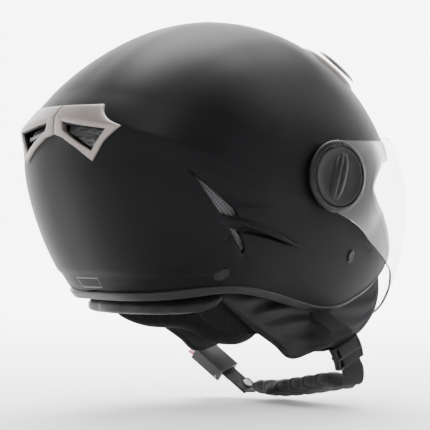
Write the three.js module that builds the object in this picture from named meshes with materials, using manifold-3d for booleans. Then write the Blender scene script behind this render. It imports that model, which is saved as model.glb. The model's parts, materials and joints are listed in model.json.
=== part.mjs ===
// Open face motorcycle helmet, in millimetres.
// +Z is up, the wearer faces -Y and the wearer's right hand is on -X.
// The origin is on the mirror plane, straight below the crown, level with the visor pivots.
import * as THREE from "three";
import { mergeVertices } from "three/addons/utils/BufferGeometryUtils.js";
import Module from "manifold-3d";

const wasm = await Module();
wasm.setup();

// ---- Driving dimensions ----
// The size that the outline curves below are drawn at, and the size that is built.
const FORM_SIZE = { width: 248, length: 299, height: 236 };
const SHELL_WIDTH = 248;
const SHELL_LENGTH = 299;
const SHELL_HEIGHT = 236;
const SHELL_WALL = 4;
const FOAM_WALL = 30;
const CROWN_LINER_WALL = 8;
const CHEEK_PAD_WALL = 16;
const PASSAGE = {
  half: 58 * SHELL_WIDTH / FORM_SIZE.width,
  rear: 86 * SHELL_LENGTH / FORM_SIZE.length,
  bend: 10,
  top: -20,
};
const GAP = 0.4;

const BEADING_WIDTH = 6;
const BEADING_PROUD = 0.6;
const BEADING_DEPTH = 4;
const ROLL_WALL = 22;
const APRON_WALL = 8;
const APRON_INSET = 69;

const VISOR_WALL = 2;
const VISOR_CLEARANCE = 2;
const PIVOT = { y: -33, z: -5 };
const EAR_RADIUS = 31.5;
const EAR_POCKET_RADIUS = 29.7;
const BASE_RADIUS = 24;
const HUB_RADIUS = 13.6;
const KNOB_RADIUS = 25;
const RING_RADIUS = 29.5;
const RING_HEIGHT = 2.4;
const GRIP_HEIGHT = 2.6;
const SCREW_RADIUS = 2.2;
const SCREW_HEAD_RADIUS = 4.5;
const NUT_RADIUS = 5.5;
const NUT_HEIGHT = 4;
const NUT_SINK = 1.8;

const VENT_FRAME_PROUD = 1.6;
const VENT_FRAME_RIDGE = 5;
const MESH_WALL = 1.4;
const VENT_LENGTH = 46;
const VENT_WIDTH = 24;
const VENT_PROUD = 3.4;
const SLIDER_LENGTH = 22;
const SLIDER_WIDTH = 13;
const SLIDER_HEIGHT = 2.2;
const FIN_PROUD = 2.2;

const WEBBING_WIDTH = 22;
const WEBBING_WALL = 1.8;
const STRAP_SINK = 2.6;
const STRAP_SWERVE = 11.6;
const PAD_WIDTH = 38;
const PAD_WALL = 13;
const ADJUSTER_LENGTH = 20;
const TONGUE_LENGTH = 36;
const TONGUE_WIDTH = 16;
const TONGUE_WALL = 2.2;
const HOUSING_LENGTH = 32;
const HOUSING_WIDTH = 25;
const PIN_RADIUS = 1;
const PIN_AT = 30;
const PIN_OUT = 4.8;
const HOUSING_START = 26;
const HOUSING_TOP = 6.6;
const TEETH = 6;
const TOOTH_PITCH = 2.5;
const TOOTH_HEIGHT = 0.8;
const LEVER_WIDTH = 15;
const BARREL_RADIUS = 2;
const SPRING_WIDTH = 2.5;
const PAWL_AT = 37;
const TAB_LENGTH = 7;
const ADJUSTER_DROP = 18;
const ADJUSTER_WALL = 7;
const ADJUSTER_PLAY = 0.75;

// ---- Form of the shell ----
// Distances from the origin to the skin, every 20 degrees: over the top in the mirror plane from below
// the chin to below the nape, and up one flank from straight down.
const FORM_STEP = 20;
const PROFILE_START = -70;
const PROFILE = [200, 193, 180, 163, 146, 136, 131, 126, 124, 124, 127, 138, 158, 146, 145, 153, 168];
const FLANK_START = -90;
const FLANK = [136, 138, 137, 131, 124, 124, 120, 118, 123];
const LOWEST_ANGLE = -50;
const SQUARENESS_LOW = 2.5;
const SQUARENESS_TOP = 2;

const SCALE = new THREE.Vector3(
  SHELL_WIDTH / FORM_SIZE.width,
  SHELL_LENGTH / FORM_SIZE.length,
  SHELL_HEIGHT / FORM_SIZE.height,
);

const degrees = THREE.MathUtils.radToDeg;
const radians = THREE.MathUtils.degToRad;

// Uniform cubic B-spline through control values spaced FORM_STEP degrees apart.
function spline(values, start, angle) {
  const t = (angle - start) / FORM_STEP;
  const i = THREE.MathUtils.clamp(Math.floor(t), 1, values.length - 3);
  const f = t - i;
  const weights = [(1 - f) ** 3, 3 * f ** 3 - 6 * f ** 2 + 4, -3 * f ** 3 + 3 * f ** 2 + 3 * f + 1, f ** 3];
  return weights.reduce((sum, w, k) => sum + w * values[i - 1 + k], 0) / 6;
}

const apex = spline(PROFILE, PROFILE_START, 90);
const flankTop = FLANK[FLANK.length - 1];
const FLANK_CLOSED = [...FLANK, (6 * apex - 2 * flankTop) / 4, flankTop, FLANK[FLANK.length - 2]];

// Radius of a superellipse whose half axes are along and across the mirror plane.
function squareRadius(across, along, halfWidth, halfLength, power) {
  return ((across / halfWidth) ** power + (along / halfLength) ** power) ** (-1 / power);
}

// Shares of a direction across and along the mirror plane, and its rise above the level in degrees.
function polar(direction) {
  const level = Math.hypot(direction.x, direction.y);
  const rise = Math.max(degrees(Math.atan2(direction.z, level)), LOWEST_ANGLE);
  if (level < 1e-6) return { across: 0, along: 1, rise };
  return { across: Math.abs(direction.x) / level, along: direction.y / level, rise };
}

function skinForm(direction) {
  const { across, along, rise } = polar(direction);
  const length = spline(PROFILE, PROFILE_START, along < 0 ? rise : 180 - rise);
  const width = spline(FLANK_CLOSED, FLANK_START, rise);
  const power = SQUARENESS_TOP + (SQUARENESS_LOW - SQUARENESS_TOP) * Math.cos(radians(rise)) ** 2;
  return squareRadius(across, Math.abs(along), width, length, power);
}

// The visor's own form: a deeper front than the shell's, with the same flanks.
const VISOR_FRONT = [198, 194, 186, 172, 160, 150, 143, 137];
const VISOR_FRONT_START = -70;
const VISOR_FLARE = 2.5;
const VISOR_SQUARENESS = 2.45;
function visorForm(direction) {
  const { across, along, rise } = polar(direction);
  const front = spline(VISOR_FRONT, VISOR_FRONT_START, Math.min(rise, 40));
  const width = spline(FLANK_CLOSED, FLANK_START, rise) + VISOR_FLARE;
  return squareRadius(across, Math.abs(along), width, front, VISOR_SQUARENESS);
}

function skinPoint(direction, form = skinForm) {
  return direction.clone().multiplyScalar(form(direction)).multiply(SCALE);
}

// ---- Solids ----
function toSolid(geometry) {
  const bare = geometry.clone();
  bare.deleteAttribute("normal");
  bare.deleteAttribute("uv");
  const merged = mergeVertices(bare);
  return new wasm.Manifold(new wasm.Mesh({
    numProp: 3,
    vertProperties: new Float32Array(merged.attributes.position.array),
    triVerts: new Uint32Array(merged.index.array),
  }));
}

function toGeometry(solid) {
  const mesh = solid.getMesh();
  const geometry = new THREE.BufferGeometry();
  geometry.setAttribute("position", new THREE.BufferAttribute(new Float32Array(mesh.vertProperties), 3));
  geometry.setIndex(new THREE.BufferAttribute(new Uint32Array(mesh.triVerts), 1));
  geometry.computeVertexNormals();
  return geometry;
}

// A closed dome whose skin lies the given depth below the form's (above it when negative).
const DOME_SECTORS = 30;
const DOME_RINGS = 16;
function dome(depth, form = skinForm) {
  const sphere = new THREE.SphereGeometry(1, DOME_SECTORS, DOME_RINGS).rotateX(Math.PI / 2);
  sphere.deleteAttribute("normal");
  sphere.deleteAttribute("uv");
  const ball = mergeVertices(sphere);
  const places = ball.attributes.position;
  for (let i = 0; i < places.count; i += 1) {
    const direction = new THREE.Vector3().fromBufferAttribute(places, i).normalize();
    const skin = skinPoint(direction);
    const outer = Math.max(skin.length(), skinPoint(direction, form).length());
    skin.setLength(outer - depth);
    places.setXYZ(i, skin.x, skin.y, skin.z);
  }
  return toSolid(ball);
}

function layer(outerDepth, innerDepth, form = skinForm) {
  return dome(outerDepth, form).subtract(dome(innerDepth, form));
}

// An outline in the plane of two unit axes, swept from one distance to another along their cross product.
function sweep(shape, from, to, axisU, axisV, origin = new THREE.Vector3()) {
  const geometry = new THREE.ExtrudeGeometry(shape, { depth: to - from, bevelEnabled: false, steps: 1 });
  geometry.translate(0, 0, from);
  const axisW = axisU.clone().cross(axisV);
  geometry.applyMatrix4(new THREE.Matrix4().makeBasis(axisU, axisV, axisW).setPosition(origin));
  return toSolid(geometry);
}

const X = new THREE.Vector3(1, 0, 0);
const Y = new THREE.Vector3(0, 1, 0);
const Z = new THREE.Vector3(0, 0, 1);
const REACH = 300;

const polygon = (points) => new THREE.Shape(points.map(([u, v]) => new THREE.Vector2(u, v)));
const scaleSide = (points) => points.map(([y, z]) => [y * SCALE.y, z * SCALE.z]);
const scaleRear = (points) => points.map(([x, z]) => [x * SCALE.x, z * SCALE.z]);

// Outlines seen from the side, through the whole helmet or its right half only.
const throughSide = (points) => sweep(polygon(points), -REACH, REACH, Y, Z);
const throughRight = (points) => sweep(polygon(points), -REACH, -10, Y, Z);
// Outlines seen from behind, through the rear half only.
const throughRear = (points) => sweep(polygon(points), -REACH, 0, X, Z);

const mirrorPoints = (points) => points.map(([x, z]) => [-x, z]).reverse();

function smooth(points, count) {
  const curve = new THREE.SplineCurve(points.map(([u, v]) => new THREE.Vector2(u, v)));
  return curve.getPoints(count).map((p) => [p.x, p.y]);
}

// A line shifted sideways, to the side where the rim's waste lies.
function shifted(points, distance) {
  return points.map(([u, v], i) => {
    const before = points[Math.max(i - 1, 0)];
    const after = points[Math.min(i + 1, points.length - 1)];
    const run = Math.hypot(after[0] - before[0], after[1] - before[1]);
    return [u - ((after[1] - before[1]) / run) * distance, v + ((after[0] - before[0]) / run) * distance];
  });
}

// A round bar along X on the right side, between two distances from the mirror plane.
function sideBar(radius, near, far, y, z, segments = 28) {
  const bar = new THREE.CylinderGeometry(radius, radius, far - near, segments).rotateZ(Math.PI / 2);
  return toSolid(bar.translate(-(near + far) / 2, y, z));
}

// Distance of the skin from the mirror plane at a point seen from the side.
function skinReach(y, z, depth = 0) {
  let low = 0;
  let high = REACH;
  for (let i = 0; i < 40; i += 1) {
    const middle = (low + high) / 2;
    const point = new THREE.Vector3(middle, y, z);
    const direction = point.clone().divide(SCALE).normalize();
    if (point.length() < skinPoint(direction).length() - depth) low = middle;
    else high = middle;
  }
  return low;
}

// ---- Scene graph ----
const helmet = new THREE.Group();
helmet.name = "helmet";

const FINISH = {
  shell: { color: 0x141416, roughness: 0.55, metalness: 0 },
  foam: { color: 0x2a2a2c, roughness: 0.95, metalness: 0 },
  lining: { color: 0x101012, roughness: 0.9, metalness: 0 },
  leatherette: { color: 0x17171a, roughness: 0.6, metalness: 0 },
  rubber: { color: 0x1b1b1d, roughness: 0.7, metalness: 0 },
  champagne: { color: 0x9b9087, roughness: 0.35, metalness: 0.3 },
  mesh: { color: 0x3a3a3d, roughness: 0.7, metalness: 0 },
  plastic: { color: 0x18181a, roughness: 0.45, metalness: 0 },
  visor: { color: 0xdfe3e6, roughness: 0.05, metalness: 0, transparent: true, opacity: 0.3 },
  webbing: { color: 0x1c1c1e, roughness: 0.9, metalness: 0 },
  steel: { color: 0xb8babd, roughness: 0.3, metalness: 1 },
  grey: { color: 0x8d8f92, roughness: 0.4, metalness: 0.2 },
  red: { color: 0xb3202a, roughness: 0.45, metalness: 0 },
};

function add(name, solid, finish) {
  const mesh = new THREE.Mesh(toGeometry(solid), new THREE.MeshStandardMaterial(FINISH[finish]));
  mesh.name = name;
  helmet.add(mesh);
}

// The same piece on the other side, turned inside out once more so that it faces outwards.
function mirrored(solid) {
  const geometry = toGeometry(solid);
  const places = geometry.attributes.position;
  for (let i = 0; i < places.count; i += 1) places.setX(i, -places.getX(i));
  const corners = geometry.index.array;
  for (let i = 0; i < corners.length; i += 3) [corners[i], corners[i + 1]] = [corners[i + 1], corners[i]];
  return toSolid(geometry);
}

function addPair(name, solid, finish) {
  add(`${name}_right`, solid, finish);
  add(`${name}_left`, mirrored(solid), finish);
}

// ---- Rim ----
// Seen from the side: forward along the bottom, round the cheek's corner, up the face opening and out
// over the brow.
const RIM = scaleSide([
  ...smooth([[190, -102], [104, -98], [50, -92], [5, -98], [-58, -111], [-98, -97], [-121, -80]], 15),
  ...smooth([[-124, -74], [-108, -54], [-87, -30], [-80, -12], [-96, 8], [-130, 26], [-180, 37], [-260, 40]], 14),
]);
const ABOVE = [[-260 * SCALE.y, REACH], [REACH, REACH], [REACH, RIM[0][1]]];
const KEPT = throughSide([...RIM, ...ABOVE]);

function rimBand(from, to) {
  return throughSide([...shifted(RIM, from), ...shifted(RIM, to).reverse()]);
}

// Everything below and in front of the rim, from a distance past it.
function pastRim(distance) {
  const corners = [[RIM[RIM.length - 1][0], -REACH], [RIM[0][0], -REACH]];
  return throughSide([...shifted(RIM, distance), ...corners]);
}

// ---- Side vent outlines, seen from the side ----
const VENT_UPPER = scaleSide([[99, 0], [91, -9], [83, -20], [72.5, -34], [57, -38], [61, -31]]);
const VENT_LOWER = scaleSide([[64, -45.5], [56, -55], [47, -67], [46, -63], [54.5, -48]]);
const VENT_POCKET = scaleSide([[101, 4], [104, -6], [80, -42], [50, -74], [40, -68], [50, -36]]);
const VENT_PLATE = scaleSide([[100, 2.5], [102, -5.5], [79, -40.5], [50, -72], [41.5, -67], [51, -36]]);
const FIN = scaleSide([[66, -38.5], [50, -39], [-4, -59.5], [-2, -62.5], [46, -46], [60, -43.5]]);

// ---- Rear vent outlines, seen from behind ----
const FRAME_HALF = [[-44, 50], [-51, 41], [-69, 32], [-57, 21], [-47, 6], [-30, 16.5], [-12, 25]];
const FRAME = scaleRear([...FRAME_HALF, ...mirrorPoints(FRAME_HALF)]);
const WINDOW = scaleRear([[-10, 36.5], [-57.5, 30], [-46, 14], [-12, 30.5]]);
const SLAT = scaleRear([[-17, 31], [-52, 25.5], [-50, 22.5], [-21, 28]]);

const centreOf = (points) => points.reduce((s, [u, v]) => [s[0] + u / points.length, s[1] + v / points.length], [0, 0]);
// An outline drawn in towards its middle by about the given distance.
function shrunk(points, distance) {
  const [cu, cv] = centreOf(points);
  return points.map(([u, v]) => {
    const run = Math.hypot(u - cu, v - cv);
    return [u - ((u - cu) / run) * distance, v - ((v - cv) / run) * distance];
  });
}

// ---- Pivots ----
const pivotY = PIVOT.y * SCALE.y;
const pivotZ = PIVOT.z * SCALE.z;
// The widest place of the skin under the visor's ear: everything round the pivot is stacked on it.
const aroundPivot = [0, 12, 24, EAR_RADIUS].flatMap((radius) => Array.from({ length: 12 }, (_, i) => {
  const turn = (i * Math.PI) / 6;
  return skinReach(pivotY + radius * Math.cos(turn), pivotZ + radius * Math.sin(turn));
}));
const pivotFace = Math.max(...aroundPivot);
const pivotSkin = skinReach(pivotY, pivotZ);
const baseTop = pivotFace + 1;
const earNear = baseTop + GAP;
const earFar = earNear + VISOR_WALL;
const knobNear = earFar + GAP;
const knobFar = knobNear + RING_HEIGHT;
const pivotBar = (radius, near, far, segments) => sideBar(radius, near, far, pivotY, pivotZ, segments);

// ---- Fixings through the shell ----
const STRAP_ANCHOR = scaleSide([[-63, -69]])[0];
const LINING_RIVET = scaleSide([[60, -82]])[0];
const SHANK_RADIUS = 2.5;
const NUT_POCKET_RADIUS = NUT_RADIUS + GAP;
const nutFar = pivotSkin - SHELL_WALL - NUT_SINK;
const nutNear = nutFar - NUT_HEIGHT;
const screwNear = nutNear - 1;
const nutPocketNear = screwNear - 1;

function fixing([y, z], headRadius, tall) {
  const face = skinReach(y, z);
  const shankNear = skinReach(y, z, SHELL_WALL);
  const head = new THREE.CylinderGeometry(headRadius * 0.7, headRadius, 3, 16).rotateZ(Math.PI / 2);
  head.scale(1, 1, tall).translate(-(face + 1.4), y, z);
  const dish = toSolid(head).subtract(dome(-GAP));
  return dish.add(sideBar(SHANK_RADIUS, shankNear, face + 2, y, z, 10));
}
const fixingHole = ([y, z]) => sideBar(SHANK_RADIUS + GAP, 60, REACH, y, z, 10);

// ---- Webbing ----
// A flat band whose middle line is seen from the front. Below the level where it leaves the helmet it
// leans forward or back as it goes down.
function leaning(geometry, lean, level) {
  const places = geometry.attributes.position;
  for (let i = 0; i < places.count; i += 1) {
    places.setY(i, places.getY(i) + lean * Math.min(0, places.getZ(i) - level));
  }
  return geometry;
}
function frontSlab(outline, width, middleY, lean, level) {
  const flat = new THREE.ExtrudeGeometry(polygon(outline), { depth: width, bevelEnabled: false, steps: 1 });
  flat.translate(0, 0, -width / 2);
  flat.applyMatrix4(new THREE.Matrix4().makeBasis(X, Z, Y.clone().negate())).translate(0, middleY, 0);
  return toSolid(leaning(flat, lean, level));
}
function band(points, count, thickness, width, middleY, lean = 0, level = 0) {
  const line = smooth(points, count);
  const outline = [...shifted(line, thickness / 2), ...shifted(line, -thickness / 2).reverse()];
  return frontSlab(outline, width, middleY, lean, level);
}

const strapY = STRAP_ANCHOR[0];
// The least room inside the skin over the webbing's width, at a level and a depth.
const strapRoom = (z, depth) => Math.min(...[-1, 0, 1].map((k) => skinReach(strapY + (k * WEBBING_WIDTH) / 2, z, depth)));
const strapTopX = strapRoom(STRAP_ANCHOR[1], SHELL_WALL) - WEBBING_WALL / 2 - STRAP_SINK;
const STRAP_BESIDE_APRON = 2.1;
const STRAP_BELOW_RIM = 0.8;
const RIM_AT_STRAP = -111;
const strapExit = [
  (APRON_INSET + STRAP_BESIDE_APRON) * SCALE.x,
  RIM_AT_STRAP * SCALE.z - BEADING_WIDTH - STRAP_BELOW_RIM,
];
const fromMiddle = (x) => x * SCALE.x;
const belowExit = (z) => strapExit[1] + (z + 117);
const RIGHT_LEAN = 0.48;
const UNDER_SHELL = -100 * SCALE.z;
const underShell = (side) => [side * (strapRoom(UNDER_SHELL, BEADING_DEPTH) - STRAP_SWERVE), UNDER_SHELL];
const ADJUSTER_RUN = [[-87.4, -130], [-86.6, -141.33], [-85.8, -152.67], [-85, -164]].map(([x, z]) => [fromMiddle(x), belowExit(z)]);
const strapRightLine = [
  [-strapTopX, STRAP_ANCHOR[1] - 1], underShell(-1), [-strapExit[0], strapExit[1]], ...ADJUSTER_RUN,
  [fromMiddle(-78), belowExit(-174)], [fromMiddle(-69), belowExit(-176.5)],
];

// ---- Buckle frame ----
const BUCKLE_START = new THREE.Vector3(fromMiddle(50), -83 * SCALE.y, belowExit(-188));
const buckleAlong = new THREE.Vector3(42, 24, 38).normalize();
const buckleAcross = Y.clone().negate().addScaledVector(buckleAlong, buckleAlong.y).normalize();
const buckleOut = buckleAlong.clone().cross(buckleAcross);
const bucklePoint = (s, n) => BUCKLE_START.clone().addScaledVector(buckleAlong, s).addScaledVector(buckleOut, n);

// An outline of distances out of and along the buckle, swept across it.
const buckleSlice = (points, from, to) => sweep(polygon(points), from, to, buckleOut, buckleAlong, BUCKLE_START);
const buckleBlock = (s0, s1, n0, n1, from, to) => buckleSlice([[n0, s0], [n1, s0], [n1, s1], [n0, s1]], from, to);
function buckleBar(radius, s, n, from, to, count = 12) {
  const turns = Array.from({ length: count }, (_, i) => (i * 2 * Math.PI) / count);
  return buckleSlice(turns.map((t) => [n + radius * Math.cos(t), s + radius * Math.sin(t)]), from, to);
}
function buckleStud(radius, s, n0, n1) {
  const stud = new THREE.CylinderGeometry(radius, radius, n1 - n0, 12).rotateX(Math.PI / 2);
  stud.translate(s, 0, (n0 + n1) / 2);
  const frame = new THREE.Matrix4().makeBasis(buckleAlong, buckleAcross, buckleOut).setPosition(BUCKLE_START);
  return toSolid(stud.applyMatrix4(frame));
}

// ---- Shell, foam and linings ----
function outerShell() {
  const fixingHoles = fixingHole(STRAP_ANCHOR).add(fixingHole(LINING_RIVET));
  const rightCuts = throughRight(VENT_UPPER).add(throughRight(VENT_LOWER)).add(fixingHoles)
    .add(pivotBar(SCREW_RADIUS + GAP, 60, REACH, 12));
  const rearCuts = throughRear(WINDOW);
  return layer(0, SHELL_WALL).intersect(KEPT).subtract(rightCuts).subtract(mirrored(rightCuts))
    .subtract(rearCuts).subtract(mirrored(rearCuts));
}

// The way in for the head: straight sides between the cheeks and a half ellipse behind.
function headPassage() {
  const outline = new THREE.Shape();
  outline.moveTo(PASSAGE.half, -REACH);
  outline.lineTo(PASSAGE.half, PASSAGE.bend);
  outline.absellipse(0, PASSAGE.bend, PASSAGE.half, PASSAGE.rear - PASSAGE.bend, 0, Math.PI);
  outline.lineTo(-PASSAGE.half, -REACH);
  return sweep(outline, -REACH, PASSAGE.top, X, Y);
}

function foamLiner() {
  const foamTop = SHELL_WALL + GAP;
  const pocket = throughRight(VENT_POCKET).subtract(dome(foamTop + 6));
  const nutPocket = pivotBar(NUT_POCKET_RADIUS, nutPocketNear, REACH, 20);
  const [top, middle, exit] = strapRightLine;
  const channel = band([top, middle, exit, [exit[0] + 3, exit[1] - 12]], 8, 12, WEBBING_WIDTH + 6, strapY);
  const anchorRoom = sideBar(14, strapTopX - 4, REACH, ...STRAP_ANCHOR, 20);
  const rivetRoom = sideBar(SHANK_RADIUS + 1, skinReach(...LINING_RIVET, SHELL_WALL) - 3, REACH, ...LINING_RIVET, 16);
  const cuts = pocket.add(nutPocket).add(channel).add(anchorRoom).add(rivetRoom);
  const lined = layer(foamTop, foamTop + FOAM_WALL).intersect(KEPT).subtract(headPassage());
  return lined.subtract(cuts).subtract(mirrored(cuts));
}

const liningDepth = SHELL_WALL + FOAM_WALL + 2 * GAP;
const CROWN_EDGE = scaleSide([...smooth([[REACH, -50], [60, -50], [10, -34], [-60, 10], [-110, 26], [-REACH, 40]], 16)]);
const CROWN_SIDE = [...CROWN_EDGE, [-REACH, REACH], [REACH, REACH]];
const CHEEK = scaleSide(smooth([[14, -46], [24, -82], [-20, -98], [-66, -104], [-98, -88], [-86, -52], [-50, -36], [-10, -36], [14, -46]], 20).slice(1));
const ROLL_LOW = [[190, -106], [104, -111], [84, -119], [60, -117], [42, -105]];
const ROLL_EDGE = scaleSide([...smooth(ROLL_LOW, 12), [42, -93], [70, -93], [104, -98.6], [190, -102.6]]);

function neckRoll() {
  const region = throughSide(ROLL_EDGE).intersect(pastRim(GAP));
  return layer(BEADING_DEPTH + 2 * GAP, BEADING_DEPTH + 2 * GAP + ROLL_WALL).intersect(region);
}

// ---- Cheek aprons ----
// A hanging panel below the beading, nearly upright, seen from the side.
const APRON = [[38, -100], [30, -106], [4, -125], [-20, -140], [-36, -151], [-60, -146], [-100, -136], [-116, -120],
  [-122, -104], [-121, -88]];
function cheekApron() {
  const lifted = smooth(APRON, 16).map(([y, z]) => [y * SCALE.y, z < -112 ? belowExit(z) : z * SCALE.z]);
  const outline = [...lifted, [-100 * SCALE.y, -70 * SCALE.z], [20 * SCALE.y, -80 * SCALE.z]];
  const near = APRON_INSET * SCALE.x - APRON_WALL;
  return sweep(polygon(outline), -near - APRON_WALL, -near, Y, Z).intersect(pastRim(BEADING_WIDTH + GAP));
}

// ---- Rear vent ----
function ridgeForm(direction) {
  const point = direction.clone().multiplyScalar(skinForm(direction));
  const fold = 40 - Math.abs(point.x) * 0.12;
  const rise = Math.max(0, 1 - Math.abs(point.z - fold) / 24);
  return skinForm(direction) + (point.y > 0 ? VENT_FRAME_RIDGE * rise : 0);
}

function rearVentFrame() {
  const windows = throughRear(WINDOW).add(mirrored(throughRear(WINDOW)));
  return dome(-VENT_FRAME_PROUD - GAP, ridgeForm).subtract(dome(-GAP)).intersect(throughRear(FRAME))
    .subtract(windows);
}

// ---- Top vents ----
// A flat-topped base moulded to the skin, with a slider on it that opens the vent.
const ventMiddle = new THREE.Vector3(-51, -89, 84).multiply(SCALE);
const ventDirection = ventMiddle.clone().divide(SCALE).normalize();
const ventSeat = skinPoint(ventDirection);
const ventOut = ventSeat.clone().normalize();
const ventAlong = new THREE.Vector3(-21, -25, -30);
ventAlong.addScaledVector(ventOut, -ventAlong.dot(ventOut)).normalize();
const ventAcross = ventOut.clone().cross(ventAlong);

function ventOutline(length, width) {
  const [a, b] = [length / 2, width / 2];
  const shape = new THREE.Shape();
  shape.moveTo(-a, -b * 0.3).quadraticCurveTo(-a * 0.8, -b, -a * 0.1, -b).lineTo(a * 0.7, -b * 0.7);
  shape.lineTo(a, 0).lineTo(a * 0.7, b * 0.7).lineTo(-a * 0.1, b);
  shape.quadraticCurveTo(-a * 0.8, b, -a, b * 0.3);
  return polygon(shape.getPoints(4).map((p) => [p.x, p.y]));
}
const ventSweep = (length, width, from, to) => sweep(ventOutline(length, width), from, to, ventAlong, ventAcross, ventSeat);

// ---- Side vent fin and meshes ----
const sideFin = () => throughRight(FIN).intersect(dome(-FIN_PROUD - GAP)).subtract(dome(-GAP));
const plateDepth = SHELL_WALL + 2 * GAP;

// ---- Pieces ----
add("outer_shell", outerShell(), "shell");
add("foam_liner", foamLiner(), "foam");
add("crown_liner", layer(liningDepth, liningDepth + CROWN_LINER_WALL).intersect(throughSide(CROWN_SIDE)), "lining");
const cheekLayer = layer(liningDepth, liningDepth + CHEEK_PAD_WALL).intersect(KEPT);
const cheekRight = sweep(polygon(CHEEK), -REACH, -PASSAGE.half, Y, Z);
add("cheek_pad_right", cheekLayer.intersect(cheekRight), "lining");
add("cheek_pad_left", cheekLayer.intersect(mirrored(cheekRight)), "lining");
addPair("cheek_apron", cheekApron(), "leatherette");
add("neck_roll", neckRoll(), "leatherette");
add("edge_beading", layer(-BEADING_PROUD, BEADING_DEPTH).intersect(rimBand(GAP, BEADING_WIDTH)), "rubber");

add("rear_vent_frame", rearVentFrame(), "champagne");
const windowRear = throughRear(shrunk(WINDOW, 1));
addPair("rear_vent_mesh", layer(SHELL_WALL - MESH_WALL - 0.6, SHELL_WALL - 0.6).intersect(windowRear), "mesh");
addPair("rear_vent_slat", layer(-1, SHELL_WALL - MESH_WALL - 1).intersect(throughRear(SLAT)), "plastic");

addPair("side_vent_mesh", layer(plateDepth, plateDepth + MESH_WALL).intersect(throughRight(VENT_PLATE)), "mesh");
addPair("side_vent_fin", sideFin(), "shell");

addPair("top_vent_base", ventSweep(VENT_LENGTH, VENT_WIDTH, -8, VENT_PROUD).subtract(dome(-GAP)), "champagne");
const sliderBlock = ventSweep(SLIDER_LENGTH, SLIDER_WIDTH, VENT_PROUD + GAP, VENT_PROUD + GAP + SLIDER_HEIGHT);
addPair("top_vent_slider", sliderBlock, "plastic");

const LABEL = scaleRear([[-12, -95], [-8, -86], [21, -86], [21, -96]]);
add("label_plate", layer(-GAP - 0.6, -GAP).intersect(throughRear(LABEL)), "grey");

addPair("strap_anchor", fixing(STRAP_ANCHOR, 3.6, 1.4), "plastic");
addPair("lining_rivet", fixing(LINING_RIVET, 5, 1), "plastic");

// ---- Visor and pivots ----
const VISOR_EDGE = scaleSide([[-33, 26.5], [-230, 31], [-230, -129], [-168, -128.5], [-153, -119], [-138, -111],
  [-133, -98], [-118, -81], [-84, -61], [-57, -46], [-33, -36]]);
function visorBlank() {
  const inner = dome(-VISOR_CLEARANCE, visorForm);
  const outer = dome(-VISOR_CLEARANCE - VISOR_WALL, visorForm);
  const ear = pivotBar(EAR_RADIUS, 90, earFar).subtract(inner);
  const half = outer.subtract(inner).intersect(throughSide(VISOR_EDGE));
  const pockets = pivotBar(EAR_POCKET_RADIUS, 90, earNear).add(pivotBar(EAR_RADIUS + 3, earFar, REACH))
    .add(pivotBar(HUB_RADIUS + GAP, 90, REACH));
  const bosses = ear.add(mirrored(ear));
  return half.add(bosses).subtract(pockets).subtract(mirrored(pockets));
}
add("visor", visorBlank(), "visor");

const ring = pivotBar(RING_RADIUS, knobNear, knobFar).subtract(pivotBar(KNOB_RADIUS + GAP, 90, REACH));
addPair("visor_ring", ring, "plastic");

const screwHole = pivotBar(SCREW_RADIUS + GAP, 60, REACH, 12);
const headRoom = pivotBar(SCREW_HEAD_RADIUS + GAP, baseTop - 2.2, REACH, 20);
addPair("pivot_base", pivotBar(BASE_RADIUS, 100, baseTop).subtract(dome(-GAP)).subtract(screwHole).subtract(headRoom), "plastic");
const screwTop = baseTop - 0.2;
const screw = pivotBar(SCREW_HEAD_RADIUS, screwTop - 1.6, screwTop, 20).add(pivotBar(SCREW_RADIUS, screwNear, screwTop - 1, 12));
addPair("pivot_screw", screw, "steel");
addPair("pivot_nut", pivotBar(NUT_RADIUS, nutNear, nutFar, 6).subtract(screwHole), "steel");

// The knob: a disc on a hub, with a plain upright grip across it.
function pivotKnob() {
  const grip = new THREE.Shape();
  grip.absarc(0, 12, 4.5, 0, Math.PI).absarc(0, -12, 4.5, Math.PI, Math.PI * 2);
  const outline = polygon(grip.getPoints(8).slice(0, -1).map((p) => [p.x + pivotY, p.y + pivotZ]));
  const handle = sweep(outline, -knobFar - GRIP_HEIGHT, -knobFar + 1, Y, Z);
  return pivotBar(KNOB_RADIUS, knobNear, knobFar).add(pivotBar(HUB_RADIUS, earNear, knobNear + 1)).add(handle);
}
addPair("pivot_knob", pivotKnob(), "plastic");

// ---- Chin strap ----
add("strap_right", band(strapRightLine, 30, WEBBING_WALL, WEBBING_WIDTH, strapY, RIGHT_LEAN, strapExit[1]), "webbing");

// The padded sleeve lies across under the chin, from the webbing's end to the tongue's tail.
const padY = strapY + RIGHT_LEAN * (belowExit(-176) - strapExit[1]);
const padLine = [[-66.5, -176.5], [-16, -183], [36.5, -187]].map(([x, z]) => [fromMiddle(x), belowExit(z)]);
add("strap_pad", band(padLine, 8, PAD_WALL, PAD_WIDTH, padY), "lining");

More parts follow.
